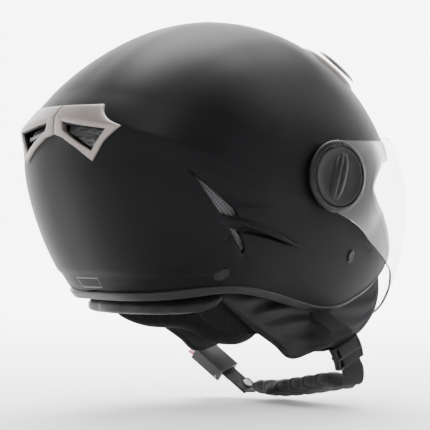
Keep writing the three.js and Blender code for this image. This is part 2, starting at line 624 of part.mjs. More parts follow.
// The adjuster is a frame round the straight run of the webbing.
function strapAdjuster() {
  const [high, , , low] = ADJUSTER_RUN;
  const run = new THREE.Vector2(low[0] - high[0], low[1] - high[1]).normalize();
  const centre = [high[0] + run.x * ADJUSTER_DROP, high[1] + run.y * ADJUSTER_DROP];
  const corner = (along, out) => [centre[0] + run.x * along + run.y * out, centre[1] + run.y * along - run.x * out];
  const slab = (length, wall, width) => frontSlab([corner(-length, -wall), corner(length, -wall), corner(length, wall),
    corner(-length, wall)], width, strapY, RIGHT_LEAN, strapExit[1]);
  const slot = slab(ADJUSTER_LENGTH, WEBBING_WALL / 2 + ADJUSTER_PLAY, WEBBING_WIDTH + 2 * ADJUSTER_PLAY);
  const waist = slab(ADJUSTER_LENGTH / 6, ADJUSTER_WALL, WEBBING_WIDTH - 6).subtract(
    slab(ADJUSTER_LENGTH, ADJUSTER_WALL - 2, WEBBING_WIDTH));
  return slab(ADJUSTER_LENGTH / 2, ADJUSTER_WALL / 2, WEBBING_WIDTH + 8).subtract(slot).subtract(waist);
}
add("strap_adjuster", strapAdjuster(), "plastic");

const housingEnd = bucklePoint(HOUSING_START + HOUSING_LENGTH + WEBBING_WIDTH * 0.24, 0);
const leftLean = (housingEnd.y - strapY) / (housingEnd.z - strapExit[1]);
const strapLeftLine = [[strapTopX, STRAP_ANCHOR[1] - 1], underShell(1), strapExit, [fromMiddle(91), belowExit(-128)],
  [housingEnd.x + 4, housingEnd.z + 9], [housingEnd.x, housingEnd.z]];
add("strap_left", band(strapLeftLine, 26, WEBBING_WALL, WEBBING_WIDTH, strapY, leftLean, strapExit[1]), "webbing");

// ---- Ratchet buckle ----
const half = TONGUE_WALL / 2;
const EYELET_HOLE = 1.8;
const EYELET_AT = 5;
const tailNear = -half - GAP - WEBBING_WALL;
function buckleTongue() {
  const teeth = Array.from({ length: TEETH }, (_, i) => TONGUE_LENGTH - 3 - i * TOOTH_PITCH)
    .flatMap((s) => [[half + TOOTH_HEIGHT, s], [half, s - TOOTH_PITCH]]);
  const profile = [[-half, 0], [half, 0], ...teeth.reverse(), [half, TONGUE_LENGTH - 2], [0, TONGUE_LENGTH], [-half, TONGUE_LENGTH - 2]];
  return buckleSlice(profile, -TONGUE_WIDTH / 2, TONGUE_WIDTH / 2)
    .subtract(buckleStud(EYELET_HOLE + GAP, EYELET_AT, -20, 20));
}
add("buckle_tongue", buckleTongue(), "plastic");

// The tail of webbing is folded from the sleeve up to the eyelet that rivets it to the tongue.
const tailEnd = EYELET_AT + 5;
const tail = buckleSlice([[tailNear, 0], [-9, -6.4], [-7.6, -7.6], [-half - GAP, -1], [-half - GAP, tailEnd], [tailNear, tailEnd]],
  -TONGUE_WIDTH / 2, TONGUE_WIDTH / 2).subtract(buckleStud(EYELET_HOLE + GAP, EYELET_AT, -20, 20));
add("strap_tail", tail, "webbing");
const eyelet = buckleStud(EYELET_HOLE, EYELET_AT, tailNear - GAP - 1, half + GAP + 1)
  .add(buckleStud(4, EYELET_AT, half + GAP, half + GAP + 1)).add(buckleStud(4, EYELET_AT, tailNear - GAP - 1, tailNear - GAP));
add("tongue_eyelet", eyelet, "steel");

const housingFar = HOUSING_START + HOUSING_LENGTH;
const wallNear = TONGUE_WIDTH / 2 + GAP + 0.3;
const floorTop = -half - GAP;
function buckleHousing() {
  const body = buckleBlock(HOUSING_START, housingFar, floorTop - 2.4, HOUSING_TOP, -HOUSING_WIDTH / 2, HOUSING_WIDTH / 2);
  const channel = buckleBlock(HOUSING_START - 1, housingFar - 6, floorTop, HOUSING_TOP + 1, -wallNear, wallNear);
  const leverWay = buckleBlock(housingFar - 7, housingFar + 1, PIN_OUT - 2.6, HOUSING_TOP + 1, -wallNear, wallNear);
  const pinHole = buckleBar(PIN_RADIUS + GAP / 2, PIN_AT, PIN_OUT, -HOUSING_WIDTH, HOUSING_WIDTH);
  return body.subtract(channel).subtract(leverWay).subtract(pinHole);
}
add("buckle_housing", buckleHousing(), "grey");
add("lever_pin", buckleBar(PIN_RADIUS, PIN_AT, PIN_OUT, -HOUSING_WIDTH / 2 + 0.5, HOUSING_WIDTH / 2 - 0.5), "steel");

// The red lever turns on the pin: its pawl rests in the teeth and its tab reaches past the housing.
const leverHalf = LEVER_WIDTH / 2;
function buckleLever() {
  const plate = buckleBlock(PIN_AT, housingFar - 3, PIN_OUT - 0.9, PIN_OUT + 0.9, -leverHalf, leverHalf);
  const tab = buckleSlice([[PIN_OUT - 0.9, housingFar - 4], [PIN_OUT + 1.4, housingFar + TAB_LENGTH], [PIN_OUT + 3.2, housingFar + TAB_LENGTH - 0.6],
    [PIN_OUT + 0.9, housingFar - 4]], -leverHalf, leverHalf);
  const pawl = buckleSlice([[PIN_OUT - 0.8, PAWL_AT], [half + TOOTH_HEIGHT + 0.5, PAWL_AT + 1.6], [half + TOOTH_HEIGHT + 0.5, PAWL_AT + 2.6],
    [PIN_OUT - 0.8, PAWL_AT + 3]], -leverHalf + 2, leverHalf - 2);
  const barrel = buckleBar(BARREL_RADIUS, PIN_AT, PIN_OUT, -leverHalf, leverHalf - SPRING_WIDTH - GAP);
  const bore = buckleBar(PIN_RADIUS + GAP / 2, PIN_AT, PIN_OUT, -HOUSING_WIDTH, HOUSING_WIDTH);
  const springRoom = buckleBar(BARREL_RADIUS + GAP, PIN_AT, PIN_OUT, leverHalf - SPRING_WIDTH - GAP, leverHalf + 1);
  return plate.add(tab).add(pawl).add(barrel).subtract(bore).subtract(springRoom);
}
add("buckle_lever", buckleLever(), "red");
const spring = buckleBar(BARREL_RADIUS, PIN_AT, PIN_OUT, leverHalf - SPRING_WIDTH, leverHalf)
  .subtract(buckleBar(PIN_RADIUS + GAP / 2, PIN_AT, PIN_OUT, -HOUSING_WIDTH, HOUSING_WIDTH));
add("lever_spring", spring, "steel");

export default helmet;
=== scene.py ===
"""An open face helmet with a clear tilting visor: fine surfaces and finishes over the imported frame."""
import json
import math

import bmesh
import bpy
import numpy as np
from bpy.props import FloatProperty, FloatVectorProperty, PointerProperty
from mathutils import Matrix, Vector


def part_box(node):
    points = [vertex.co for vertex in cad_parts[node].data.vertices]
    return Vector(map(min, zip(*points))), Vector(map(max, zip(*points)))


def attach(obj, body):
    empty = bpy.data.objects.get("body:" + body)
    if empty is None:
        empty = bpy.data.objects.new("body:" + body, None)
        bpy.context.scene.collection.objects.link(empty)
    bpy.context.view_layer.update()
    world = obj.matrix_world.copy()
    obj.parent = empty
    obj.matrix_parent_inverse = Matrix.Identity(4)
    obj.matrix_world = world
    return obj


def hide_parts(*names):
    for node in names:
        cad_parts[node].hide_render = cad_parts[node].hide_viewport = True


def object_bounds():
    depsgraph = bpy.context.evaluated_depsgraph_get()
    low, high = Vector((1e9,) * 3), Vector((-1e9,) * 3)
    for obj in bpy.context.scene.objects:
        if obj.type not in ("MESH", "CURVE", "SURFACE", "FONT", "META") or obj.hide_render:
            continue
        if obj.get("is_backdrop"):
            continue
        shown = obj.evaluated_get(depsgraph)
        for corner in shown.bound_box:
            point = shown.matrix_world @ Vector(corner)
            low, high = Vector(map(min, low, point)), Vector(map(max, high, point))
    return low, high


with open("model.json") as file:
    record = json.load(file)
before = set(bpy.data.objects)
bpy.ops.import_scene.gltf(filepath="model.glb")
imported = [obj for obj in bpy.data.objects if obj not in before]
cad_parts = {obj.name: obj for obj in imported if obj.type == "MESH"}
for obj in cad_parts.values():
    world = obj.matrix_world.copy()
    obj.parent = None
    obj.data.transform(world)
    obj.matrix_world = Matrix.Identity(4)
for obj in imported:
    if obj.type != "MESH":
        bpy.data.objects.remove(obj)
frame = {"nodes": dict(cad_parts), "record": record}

bl_info = {
    "name": "Open face helmet",
    "version": (1, 0, 0),
    "blender": (4, 5, 0),
    "location": "View3D > Sidebar > Helmet",
    "description": "Builds the fine surfaces and finishes of an open face helmet",
    "category": "Object",
}

CAD_BOX = [list(corner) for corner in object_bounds()]
MM = 0.001
FARTHEST = 260.0
SIDES = {"right": 1.0, "left": -1.0}

# ---- Form of the shell, in millimetres ----
# Radii from the origin every 20 degrees: over the top in the mirror plane, and up one flank.
PROFILE = [200, 193, 180, 163, 146, 136, 131, 126, 124, 124, 127, 138, 158, 146, 145, 153, 168]
FLANK = [136, 138, 137, 131, 124, 124, 120, 118, 123]
VISOR_FRONT = [198, 194, 186, 172, 160, 150, 143, 137]
VISOR_FLANK_ROOM = 2.5
VISOR_TOP_ROOM = 3.4
RIM_BOTTOM = [(190, -102), (104, -98), (50, -92), (5, -98), (-58, -111), (-98, -97), (-121, -80)]
RIM_FACE = [(-124, -74), (-108, -54), (-87, -30), (-80, -12), (-96, 8), (-130, 26), (-180, 37), (-260, 40)]
# Places seen from the side: behind the origin, and above it.
PIVOT = (-33.0, -5.0)
STRAP_ANCHOR = (-63.0, -69.0)
LINING_RIVET = (60.0, -82.0)
# Samples round the ear and out from it on each half of the shell.
SHELL_TURNS, SHELL_ROWS = 276, 86


def node_box(node):
    """Lowest and highest corners of a CAD node, in millimetres."""
    low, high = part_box(node)
    return np.array(low) / MM, np.array(high) / MM


# ---- Curves and forms ----
def spline(values, start, angle):
    """Uniform cubic B-spline through control values 20 degrees apart."""
    values = np.asarray(values, float)
    t = (angle - start) / 20
    i = np.clip(np.floor(t), 1, len(values) - 3).astype(int)
    f = t - i
    weights = ((1 - f) ** 3, 3 * f**3 - 6 * f**2 + 4, -3 * f**3 + 3 * f**2 + 3 * f + 1, f**3)
    return sum(w * values[i - 1 + k] for k, w in enumerate(weights)) / 6


APEX = float(spline(PROFILE, -70, np.array(90.0)))
FLANK_CLOSED = [*FLANK, (6 * APEX - 2 * FLANK[-1]) / 4, FLANK[-1], FLANK[-2]]


def polar(direction):
    """Shares of a direction across and along the mirror plane, and its rise above the level. Straight up
    counts as straight back."""
    level = np.hypot(direction[..., 0], direction[..., 1])
    rise = np.maximum(np.degrees(np.arctan2(direction[..., 2], level)), -50)
    safe = np.maximum(level, 1e-9)
    along = np.where(level < 1e-6, 1.0, direction[..., 1] / safe)
    return np.abs(direction[..., 0]) / safe, along, rise


def square_radius(across, along, width, length, power):
    """Radius of a superellipse with these half axes."""
    return ((across / width) ** power + (np.abs(along) / length) ** power) ** (-1 / power)


def skin_radius(direction):
    """Shell's radius: the mirror profile and the flank joined round by a superellipse."""
    across, along, rise = polar(direction)
    length = spline(PROFILE, -70, np.where(along < 0, rise, 180 - rise))
    width = spline(FLANK_CLOSED, -90, rise)
    return square_radius(across, along, width, length, 2 + 0.5 * np.cos(np.radians(rise)) ** 2)


def visor_radius(direction):
    """Visor's radius: close on the shell along its top, flaring down to a wider flank and a deeper front."""
    across, along, rise = polar(direction)
    front = spline(VISOR_FRONT, -70, np.minimum(rise, 40))
    width = spline(FLANK_CLOSED, -90, rise) + VISOR_FLANK_ROOM
    skin = skin_radius(direction) + VISOR_TOP_ROOM
    flare = fade(skin * direction[..., 2], 36, -30)
    return skin + flare * np.maximum(square_radius(across, along, width, front, 2.45) - skin, 0)


def unit(v):
    """Vectors scaled to length one."""
    return v / np.maximum(np.linalg.norm(v, axis=-1, keepdims=True), 1e-12)


def through(points, count):
    """Catmull-Rom curve through points, count samples to each stretch."""
    p = np.asarray(points, float)
    p = np.vstack([2 * p[0] - p[1], p, 2 * p[-1] - p[-2]])
    t = (np.arange(count) / count)[:, None]
    parts = []
    for a, b, c, d in zip(p[:-3], p[1:-2], p[2:-1], p[3:]):
        square, cube = 2 * a - 5 * b + 4 * c - d, 3 * b - a - 3 * c + d
        parts.append(0.5 * (2 * b + (c - a) * t + square * t**2 + cube * t**3))
    return np.vstack([*parts, p[-2:-1]])


def fade(value, low, high):
    """Smooth step from 0 at low to 1 at high."""
    t = np.clip((value - low) / (high - low), 0, 1)
    return t * t * (3 - 2 * t)


def find(function, low, high):
    """Bisection for the rising function's zero, element by element."""
    for _ in range(36):
        middle = (low + high) / 2
        below = function(middle) < 0
        low = np.where(below, middle, low)
        high = np.where(below, high, middle)
    return (low + high) / 2


def reach(place, shape, depth=0.0):
    """Distance at which a place, moved outwards, comes to the skin drawn in by a depth."""
    def outside(far):
        p = place(far)
        return np.linalg.norm(p, axis=-1) - skin_radius(unit(p)) + depth
    return find(outside, np.zeros(shape), np.full(shape, FARTHEST))


def reach_side(y, z, depth=0.0):
    """Distance of the skin from the mirror plane at places seen from the side."""
    return reach(lambda x: np.stack([x, y + 0 * x, z + 0 * x], -1), np.broadcast(y, z).shape, depth)


def reach_rear(x, z):
    """Distance of the skin behind the origin at places seen from behind."""
    return reach(lambda y: np.stack([x + 0 * y, y, z + 0 * y], -1), np.broadcast(x, z).shape)


def outline_distance(points, outline):
    """Signed distance of flat points from a closed outline, negative inside it."""
    a = np.asarray(outline, float)
    b = np.roll(a, -1, 0)
    run = b - a
    rel = points[:, None] - a[None]
    t = np.clip((rel * run).sum(-1) / (run**2).sum(-1), 0, 1)
    near = a[None] + t[..., None] * run
    gap = np.linalg.norm(points[:, None] - near, axis=-1)
    y, y0, y1 = points[:, None, 1], a[None, :, 1], b[None, :, 1]
    meets = a[None, :, 0] + (y - y0) * run[None, :, 0] / np.where(y1 == y0, 1e-9, y1 - y0)
    crossing = ((y0 > y) != (y1 > y)) & (points[:, None, 0] < meets)
    return np.where(crossing.sum(1) % 2 == 1, -1, 1) * gap.min(1)


# ---- Relief of the skin ----
# The long fold round the back: its level and how far it stands out, by degrees from the rear centre.
FOLD_TURN = [0, 27.6, 43, 58.5, 77.6, 95]
FOLD_LEVEL = [40, 31.5, 20, 7, -12, -26]
FOLD_HEIGHT = [5, 5, 4.6, 3.8, 2.2, 0]
# The edge of the raised middle panel, seen from above: distance out to one side, and behind the origin.
PANEL = [(0, 170), (62, 150), (74, 112), (76, 89), (73, 62), (65, 32), (58, 1), (56, -27), (62, -40),
         (74, -50), (60, -170), (0, -170)]
# The side vents, and the crease and hollows about them, seen from the side.
UPPER_VENT = [(99, 0), (91, -9), (83, -20), (72.5, -34), (57, -38), (61, -31)]
LOWER_VENT = [(64, -45.5), (56, -55), (47, -67), (46, -63), (54.5, -48)]
SIDE_CREASE = [(101, 1), (79, -6.3), (55, -15), (9, -30)]
UPPER_HOLLOW = [*SIDE_CREASE, (28, -29), (50, -29.5), (62, -30), (60, -39), (72, -36), (84, -20), (92, -9)]
LOWER_HOLLOW = [(67, -43), (50, -46), (-7, -61), (-6, -81), (19, -72), (43, -65), (47, -68)]
# The rear window seen from behind, on the right; the side vents are cut beyond FLANK_FROM, and it behind
# REAR_FROM.
REAR_WINDOW = [(-10, 36.5), (-57.5, 30), (-46, 14), (-12, 30.5)]
FLANK_FROM, REAR_FROM = -60, 90
# How far each feature of the skin rises or sinks.
PANEL_RISE, CREASE_RISE = 0.45, 1.7
UPPER_SINK, LOWER_SINK, GROOVE_SINK, NAPE_TUCK = 1.1, 1.5, 3.0, 1.4
# The groove under the fin, seen from the side.
GROOVE = [(-6, -61.4), (24, -53.2), (52, -47.4)]


def relief(points):
    """Height of the skin's folds over the plain form: a ridge that fades forward, a raised middle panel, the
    crease and two hollows at the side vents with a groove under the fin, and a tuck low at the back."""
    x, y, z = points[..., 0], points[..., 1], points[..., 2]
    turn = np.degrees(np.arctan2(np.abs(x), y))
    level = np.interp(turn, FOLD_TURN, FOLD_LEVEL)
    height = np.interp(turn, FOLD_TURN, FOLD_HEIGHT, right=0)
    width = np.where(z > level, 26, 22)
    share = np.clip(1 - np.sqrt((z - level) ** 2 + 0.6) / width, 0, 1)
    out = height * share**1.35
    flat = points.reshape(-1, 3)
    above = np.stack([np.abs(flat[:, 0]), flat[:, 1]], -1)
    panel = outline_distance(above, PANEL).reshape(x.shape)
    out = out + PANEL_RISE * fade(-panel, -14, 3) * fade(z, 30, 58)
    side = flat[:, 1:]
    upper = outline_distance(side, UPPER_HOLLOW).reshape(x.shape)
    lower = outline_distance(side, LOWER_HOLLOW).reshape(x.shape)
    flank = fade(np.abs(x), 70, 85)
    line = np.interp(y, *np.array(SIDE_CREASE[::-1]).T)
    crest = np.where(z > line, np.clip(1 - (z - line) / 22, 0, 1) ** 1.5, np.clip(1 - (line - z) / 9, 0, 1))
    out = out + CREASE_RISE * crest * fade(y, 4, 45) * (1 - fade(y, 88, 104)) * flank
    out = out - UPPER_SINK * fade(-upper, -0.8, 3) * fade(y, 8, 60) * flank
    out = out - LOWER_SINK * fade(-lower, -4.5, 0.5) * fade(y, -8, 40) * flank
    groove = np.exp(-(((z - np.interp(y, *np.array(GROOVE).T)) / 1.9) ** 2))
    out = out - GROOVE_SINK * groove * fade(y, -8, 22) * (1 - fade(y, 50, 57)) * flank
    return out - NAPE_TUCK * fade(-z, 81, 85) * fade(y, 30, 80)


# ---- Meshes ----
def make_mesh(name, points, faces, uv=None):
    """A mesh from millimetre points and four-cornered faces, with merged doubles and outward faces."""
    mesh = bpy.data.meshes.new(name)
    mesh.vertices.add(len(points))
    mesh.vertices.foreach_set("co", (points * MM).astype(np.float32).ravel())
    mesh.loops.add(faces.size)
    mesh.loops.foreach_set("vertex_index", faces.astype(np.int32).ravel())
    mesh.polygons.add(len(faces))
    mesh.polygons.foreach_set("loop_start", np.arange(0, faces.size, 4, dtype=np.int32))
    if uv is not None:
        layer = mesh.uv_layers.new(name="UVMap")
        layer.data.foreach_set("uv", uv[faces.ravel()].astype(np.float32).ravel())
    mesh.update(calc_edges=True)
    build = bmesh.new()
    build.from_mesh(mesh)
    bmesh.ops.remove_doubles(build, verts=build.verts, dist=2e-6)
    bmesh.ops.dissolve_degenerate(build, edges=build.edges, dist=1e-7)
    bmesh.ops.recalc_face_normals(build, faces=build.faces)
    build.to_mesh(mesh)
    build.free()
    mesh.shade_smooth()
    return mesh


def grid_faces(rows, columns, wrap_rows=False, wrap_columns=False):
    """Corner numbers of the faces of a grid that may close on itself."""
    r = np.arange(rows if wrap_rows else rows - 1)
    c = np.arange(columns if wrap_columns else columns - 1)
    r0, c0 = np.meshgrid(r, c, indexing="ij")
    r1, c1 = (r0 + 1) % rows, (c0 + 1) % columns
    corner = lambda a, b: (a * columns + b).ravel()
    return np.stack([corner(r0, c0), corner(r0, c1), corner(r1, c1), corner(r1, c0)], -1)


def piece(name, mesh, material, body, replaced=(), angle=None):
    """Puts a mesh in the scene, with its finish, riding on its body."""
    made = bpy.data.objects.new(name, mesh)
    bpy.context.scene.collection.objects.link(made)
    mesh.materials.clear()
    mesh.materials.append(material)
    if angle:
        mesh.set_sharp_from_angle(angle=math.radians(angle))
    if body:
        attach(made, body)
    if replaced:
        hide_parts(*replaced)
    return made


def surface(name, grid, material, body, replaced=(), wrap_rows=False, wrap_columns=False, angle=None,
            uv=None):
    """A piece from a grid of millimetre points."""
    rows, columns = grid.shape[:2]
    faces = grid_faces(rows, columns, wrap_rows, wrap_columns)
    mesh = make_mesh(name, grid.reshape(-1, 3), faces, None if uv is None else uv.reshape(-1, 2))
    return piece(name, mesh, material, body, replaced, angle)


def flip(points, side):
    """Right-hand points carried over to the named side."""
    return points * np.array([SIDES[side], 1, 1])


def round_bar(width, height, radius, corner=5):
    """Closed outline of a rounded rectangle, as offsets across and out."""
    radius = min(radius, width / 2 - 1e-3, height / 2 - 1e-3)
    turns = np.radians(np.linspace(0, 90, corner))
    centre = np.array([width / 2 - radius, height / 2 - radius])
    parts = []
    for k, signs in enumerate([(1, 1), (-1, 1), (-1, -1), (1, -1)]):
        a = turns + k * math.pi / 2
        parts.append(signs * centre + radius * np.stack([np.cos(a), np.sin(a)], -1))
    return np.vstack(parts)


def carry(profile, path, across, out, closed=False):
    """A profile carried along a path: each point is the path's, plus its shares across and out. Open ends
    close on their middle."""
    profile = np.asarray(profile, float)
    if profile.ndim == 2:
        profile = np.broadcast_to(profile, (len(path), *profile.shape))
    rings = path[:, None] + profile[..., :1] * across[:, None] + profile[..., 1:] * out[:, None]
    if closed:
        return rings
    cap = lambda ring: np.broadcast_to(ring.mean(0), ring.shape)[None]
    return np.concatenate([cap(rings[0]), rings, cap(rings[-1])])


def along(path):
    """Unit directions of travel at each point of a path."""
    return unit(np.gradient(path, axis=0))


def lengths(path):
    """Distance travelled at each point of a path."""
    return np.concatenate([[0], np.cumsum(np.linalg.norm(np.diff(path, axis=0), axis=1))])


def evenly(line, share):
    """Places on a flat line at shares of its length."""
    line = np.asarray(line, float)
    travelled = lengths(line) / lengths(line)[-1]
    return np.stack([np.interp(share, travelled, line[:, c]) for c in (0, 1)], -1)


def refined(node, material, body, bevel, steps=2):
    """A CAD node's solid with its flat faces merged and its edges rounded."""
    mesh = frame["nodes"][node].data.copy()
    build = bmesh.new()
    build.from_mesh(mesh)
    bmesh.ops.remove_doubles(build, verts=build.verts, dist=1e-6)
    bmesh.ops.dissolve_limit(build, angle_limit=math.radians(3), verts=build.verts, edges=build.edges)
    sharp = [e for e in build.edges if len(e.link_faces) == 2 and e.calc_face_angle(0) > math.radians(28)]
    bmesh.ops.bevel(build, geom=sharp, offset=bevel * MM, segments=steps, profile=0.6, affect="EDGES",
                    clamp_overlap=True)
    bmesh.ops.recalc_face_normals(build, faces=build.faces)
    build.to_mesh(mesh)
    build.free()
    mesh.shade_smooth()
    return piece(f"fine_{node}", mesh, material, body, (node,), 40)


def lathe(profile, count):
    """Rings of (radius, distance from the mirror plane) turned about the right-hand pivot."""
    profile = np.asarray(profile, float)
    turn = np.linspace(0, 2 * math.pi, count, endpoint=False)
    r, x = profile[:, 0][:, None], profile[:, 1][:, None]
    return np.stack([-x + 0 * turn, PIVOT[0] + r * np.cos(turn), PIVOT[1] + r * np.sin(turn)], -1)


def swell(mesh, voxel, pressure, cap):
    """A closed mesh blown up as cloth: remeshed, simulated for 20 frames, and held within cap millimetres."""
    holder = bpy.data.objects.new("swelling", mesh)
    scene = bpy.context.scene
    scene.collection.objects.link(holder)

    def settled():
        return bpy.data.meshes.new_from_object(holder.evaluated_get(bpy.context.evaluated_depsgraph_get()))

    grid = holder.modifiers.new("even", "REMESH")
    grid.mode = "VOXEL"
    grid.voxel_size = voxel * MM
    fresh = settled()
    holder.modifiers.clear()
    holder.data = fresh
    rest = np.zeros(len(fresh.vertices) * 3, np.float32)
    fresh.vertices.foreach_get("co", rest)
    cloth = holder.modifiers.new("cloth", "CLOTH").settings
    cloth.use_pressure = True
    cloth.uniform_pressure_force = pressure
    cloth.effector_weights.gravity = 0
    cloth.quality = 4
    for step in range(1, 21):
        scene.frame_set(step)
    blown = settled()
    holder.modifiers.clear()
    moved = np.zeros(len(blown.vertices) * 3, np.float32)
    blown.vertices.foreach_get("co", moved)
    shift = (moved - rest).reshape(-1, 3)
    far = np.linalg.norm(shift, axis=1, keepdims=True)
    shift *= np.minimum(1, cap * MM / np.maximum(far, 1e-9))
    fresh.vertices.foreach_set("co", (rest.reshape(-1, 3) + shift).ravel())
    scene.frame_set(1)
    holder.modifiers.new("round", "SUBSURF").levels = 1
    final = settled()
    bpy.data.objects.remove(holder)
    final.shade_smooth()
    return final


# ---- Shader groups ----
def new_group(name, inputs, outputs):
    """An empty shader group with named sockets."""
    tree = bpy.data.node_groups.new(name, "ShaderNodeTree")
    for label, kind, value in inputs:
        socket = tree.interface.new_socket(label, in_out="INPUT", socket_type=kind)
        if value is not None:
            socket.default_value = value
    for label, kind in outputs:
        tree.interface.new_socket(label, in_out="OUTPUT", socket_type=kind)
    return tree, tree.nodes.new("NodeGroupInput"), tree.nodes.new("NodeGroupOutput")


def sum_node(tree, kind, *values):
    """A Math node with numbers or sockets on its inputs; gives its output."""
    made = tree.nodes.new("ShaderNodeMath")
    made.operation = kind
    for k, value in enumerate(values):
        if isinstance(value, (int, float)):
            made.inputs[k].default_value = value
        else:
            tree.links.new(value, made.inputs[k])
    return made.outputs[0]


def grain_group():
    """Fine and coarse noise: a height for bumps, and a slow cloudiness for tone."""
    tree, given, result = new_group(
        "Grain",
        [("Vector", "NodeSocketVector", None), ("Fine", "NodeSocketFloat", 900.0),
         ("Coarse", "NodeSocketFloat", 18.0)],
        [("Height", "NodeSocketFloat"), ("Cloud", "NodeSocketFloat")])
    for scale, detail, output in (("Fine", 3, "Height"), ("Coarse", 4, "Cloud")):
        noise = tree.nodes.new("ShaderNodeTexNoise")
        noise.inputs["Detail"].default_value = detail
        tree.links.new(given.outputs["Vector"], noise.inputs["Vector"])
        tree.links.new(given.outputs[scale], noise.inputs["Scale"])
        tree.links.new(noise.outputs["Fac"], result.inputs[output])
    return tree


def weave_group():
    """Threads over and under: the larger of two crossed rows of round ridges, each hidden in turn."""
    tree, given, result = new_group(
        "Weave",
        [("Vector", "NodeSocketVector", None), ("Across", "NodeSocketFloat", 900.0),
         ("Along", "NodeSocketFloat", 900.0)],
        [("Height", "NodeSocketFloat")])
    split = tree.nodes.new("ShaderNodeSeparateXYZ")
    tree.links.new(given.outputs["Vector"], split.inputs[0])
    u = sum_node(tree, "MULTIPLY", split.outputs[0], given.outputs["Across"])
    v = sum_node(tree, "MULTIPLY", split.outputs[1], given.outputs["Along"])
    over = sum_node(tree, "SINE", sum_node(tree, "ADD", u, v))
    ridge_u = sum_node(tree, "ABSOLUTE", sum_node(tree, "SINE", u))
    ridge_v = sum_node(tree, "ABSOLUTE", sum_node(tree, "SINE", v))
    first = sum_node(tree, "MULTIPLY", ridge_u, sum_node(tree, "MULTIPLY_ADD", over, 0.35, 0.65))
    second = sum_node(tree, "MULTIPLY", ridge_v, sum_node(tree, "MULTIPLY_ADD", over, -0.35, 0.65))
    tree.links.new(sum_node(tree, "MAXIMUM", first, second), result.inputs["Height"])
    return tree


def pebble_group():
    """Leather or bead cells: distance to the nearest cell edge, softened."""
    tree, given, result = new_group(
        "Pebble", [("Vector", "NodeSocketVector", None), ("Scale", "NodeSocketFloat", 700.0)],
        [("Height", "NodeSocketFloat")])
    cells = tree.nodes.new("ShaderNodeTexVoronoi")
    cells.feature = "DISTANCE_TO_EDGE"
    tree.links.new(given.outputs["Vector"], cells.inputs["Vector"])
    tree.links.new(given.outputs["Scale"], cells.inputs["Scale"])
    tree.links.new(sum_node(tree, "POWER", cells.outputs["Distance"], 0.5), result.inputs["Height"])
    return tree


GROUPS = {}


def group(name):
    """The named shader group, built once."""
    if name not in GROUPS:
        GROUPS[name] = {"Grain": grain_group, "Weave": weave_group, "Pebble": pebble_group}[name]()
    return GROUPS[name]


def place_group(tree, name, vector, **values):
    """A copy of a shader group in a material, fed by a vector."""
    node = tree.nodes.new("ShaderNodeGroup")
    node.node_tree = group(name)
    tree.links.new(vector, node.inputs["Vector"])
    for label, value in values.items():
        node.inputs[label].default_value = value
    return node


def principled(name):
    """A new material with its node tree and its shader."""
    made = bpy.data.materials.new(name)
    made.use_nodes = True
    return made, made.node_tree, made.node_tree.nodes["Principled BSDF"]


def finish(name, colour, rough, metal=0.0, fine=900.0, depth=0.02, cloud=18.0, tone=0.25, shine=0.06,
           sheen=0.0, pattern=None, pattern_depth=0.3, uv=False, glare=0.5, **scales):
    """A painted, moulded or woven finish: cloudy tone and gloss, a fine grain, and a pattern pressed in."""
    made, tree, shader = principled(name)
    coords = tree.nodes.new("ShaderNodeTexCoord")
    vector = coords.outputs["Object"]
    grain = place_group(tree, "Grain", vector, Fine=fine, Coarse=cloud)
    ramp = tree.nodes.new("ShaderNodeValToRGB")
    for k, share in enumerate((1 - tone, 1 + tone)):
        ramp.color_ramp.elements[k].color = (*[min(1, c * share) for c in colour], 1)
        ramp.color_ramp.elements[k].position = (0.3, 0.7)[k]
    tree.links.new(grain.outputs["Cloud"], ramp.inputs[0])
    tree.links.new(ramp.outputs[0], shader.inputs["Base Color"])
    gloss = sum_node(tree, "MULTIPLY_ADD", grain.outputs["Cloud"], 2 * shine, rough - shine)
    tree.links.new(gloss, shader.inputs["Roughness"])
    shader.inputs["Metallic"].default_value = metal
    shader.inputs["Sheen Weight"].default_value = sheen
    shader.inputs["Specular IOR Level"].default_value = glare
    bump = tree.nodes.new("ShaderNodeBump")
    bump.inputs["Distance"].default_value = 0.0004
    bump.inputs["Strength"].default_value = depth
    tree.links.new(grain.outputs["Height"], bump.inputs["Height"])
    last = bump
    if pattern:
        pressed = place_group(tree, pattern, coords.outputs["UV"] if uv else vector, **scales)
        last = tree.nodes.new("ShaderNodeBump")
        last.inputs["Distance"].default_value = 0.0005
        last.inputs["Strength"].default_value = pattern_depth
        tree.links.new(pressed.outputs["Height"], last.inputs["Height"])
        tree.links.new(bump.outputs["Normal"], last.inputs["Normal"])
    tree.links.new(last.outputs["Normal"], shader.inputs["Normal"])
    made.diffuse_color = (*colour, 1)
    return made


def clear_finish(name, tint):
    """Clear moulded sheet: light passes straight through, with a trace of smear in its gloss."""
    made, tree, shader = principled(name)
    shader.inputs["Base Color"].default_value = (*tint, 1)
    shader.inputs["Transmission Weight"].default_value = 0.98
    shader.inputs["IOR"].default_value = 1.3
    coords = tree.nodes.new("ShaderNodeTexCoord")
    grain = place_group(tree, "Grain", coords.outputs["Object"], Fine=60.0, Coarse=14.0)
    tree.links.new(sum_node(tree, "MULTIPLY", grain.outputs["Cloud"], 0.05), shader.inputs["Roughness"])
    return made


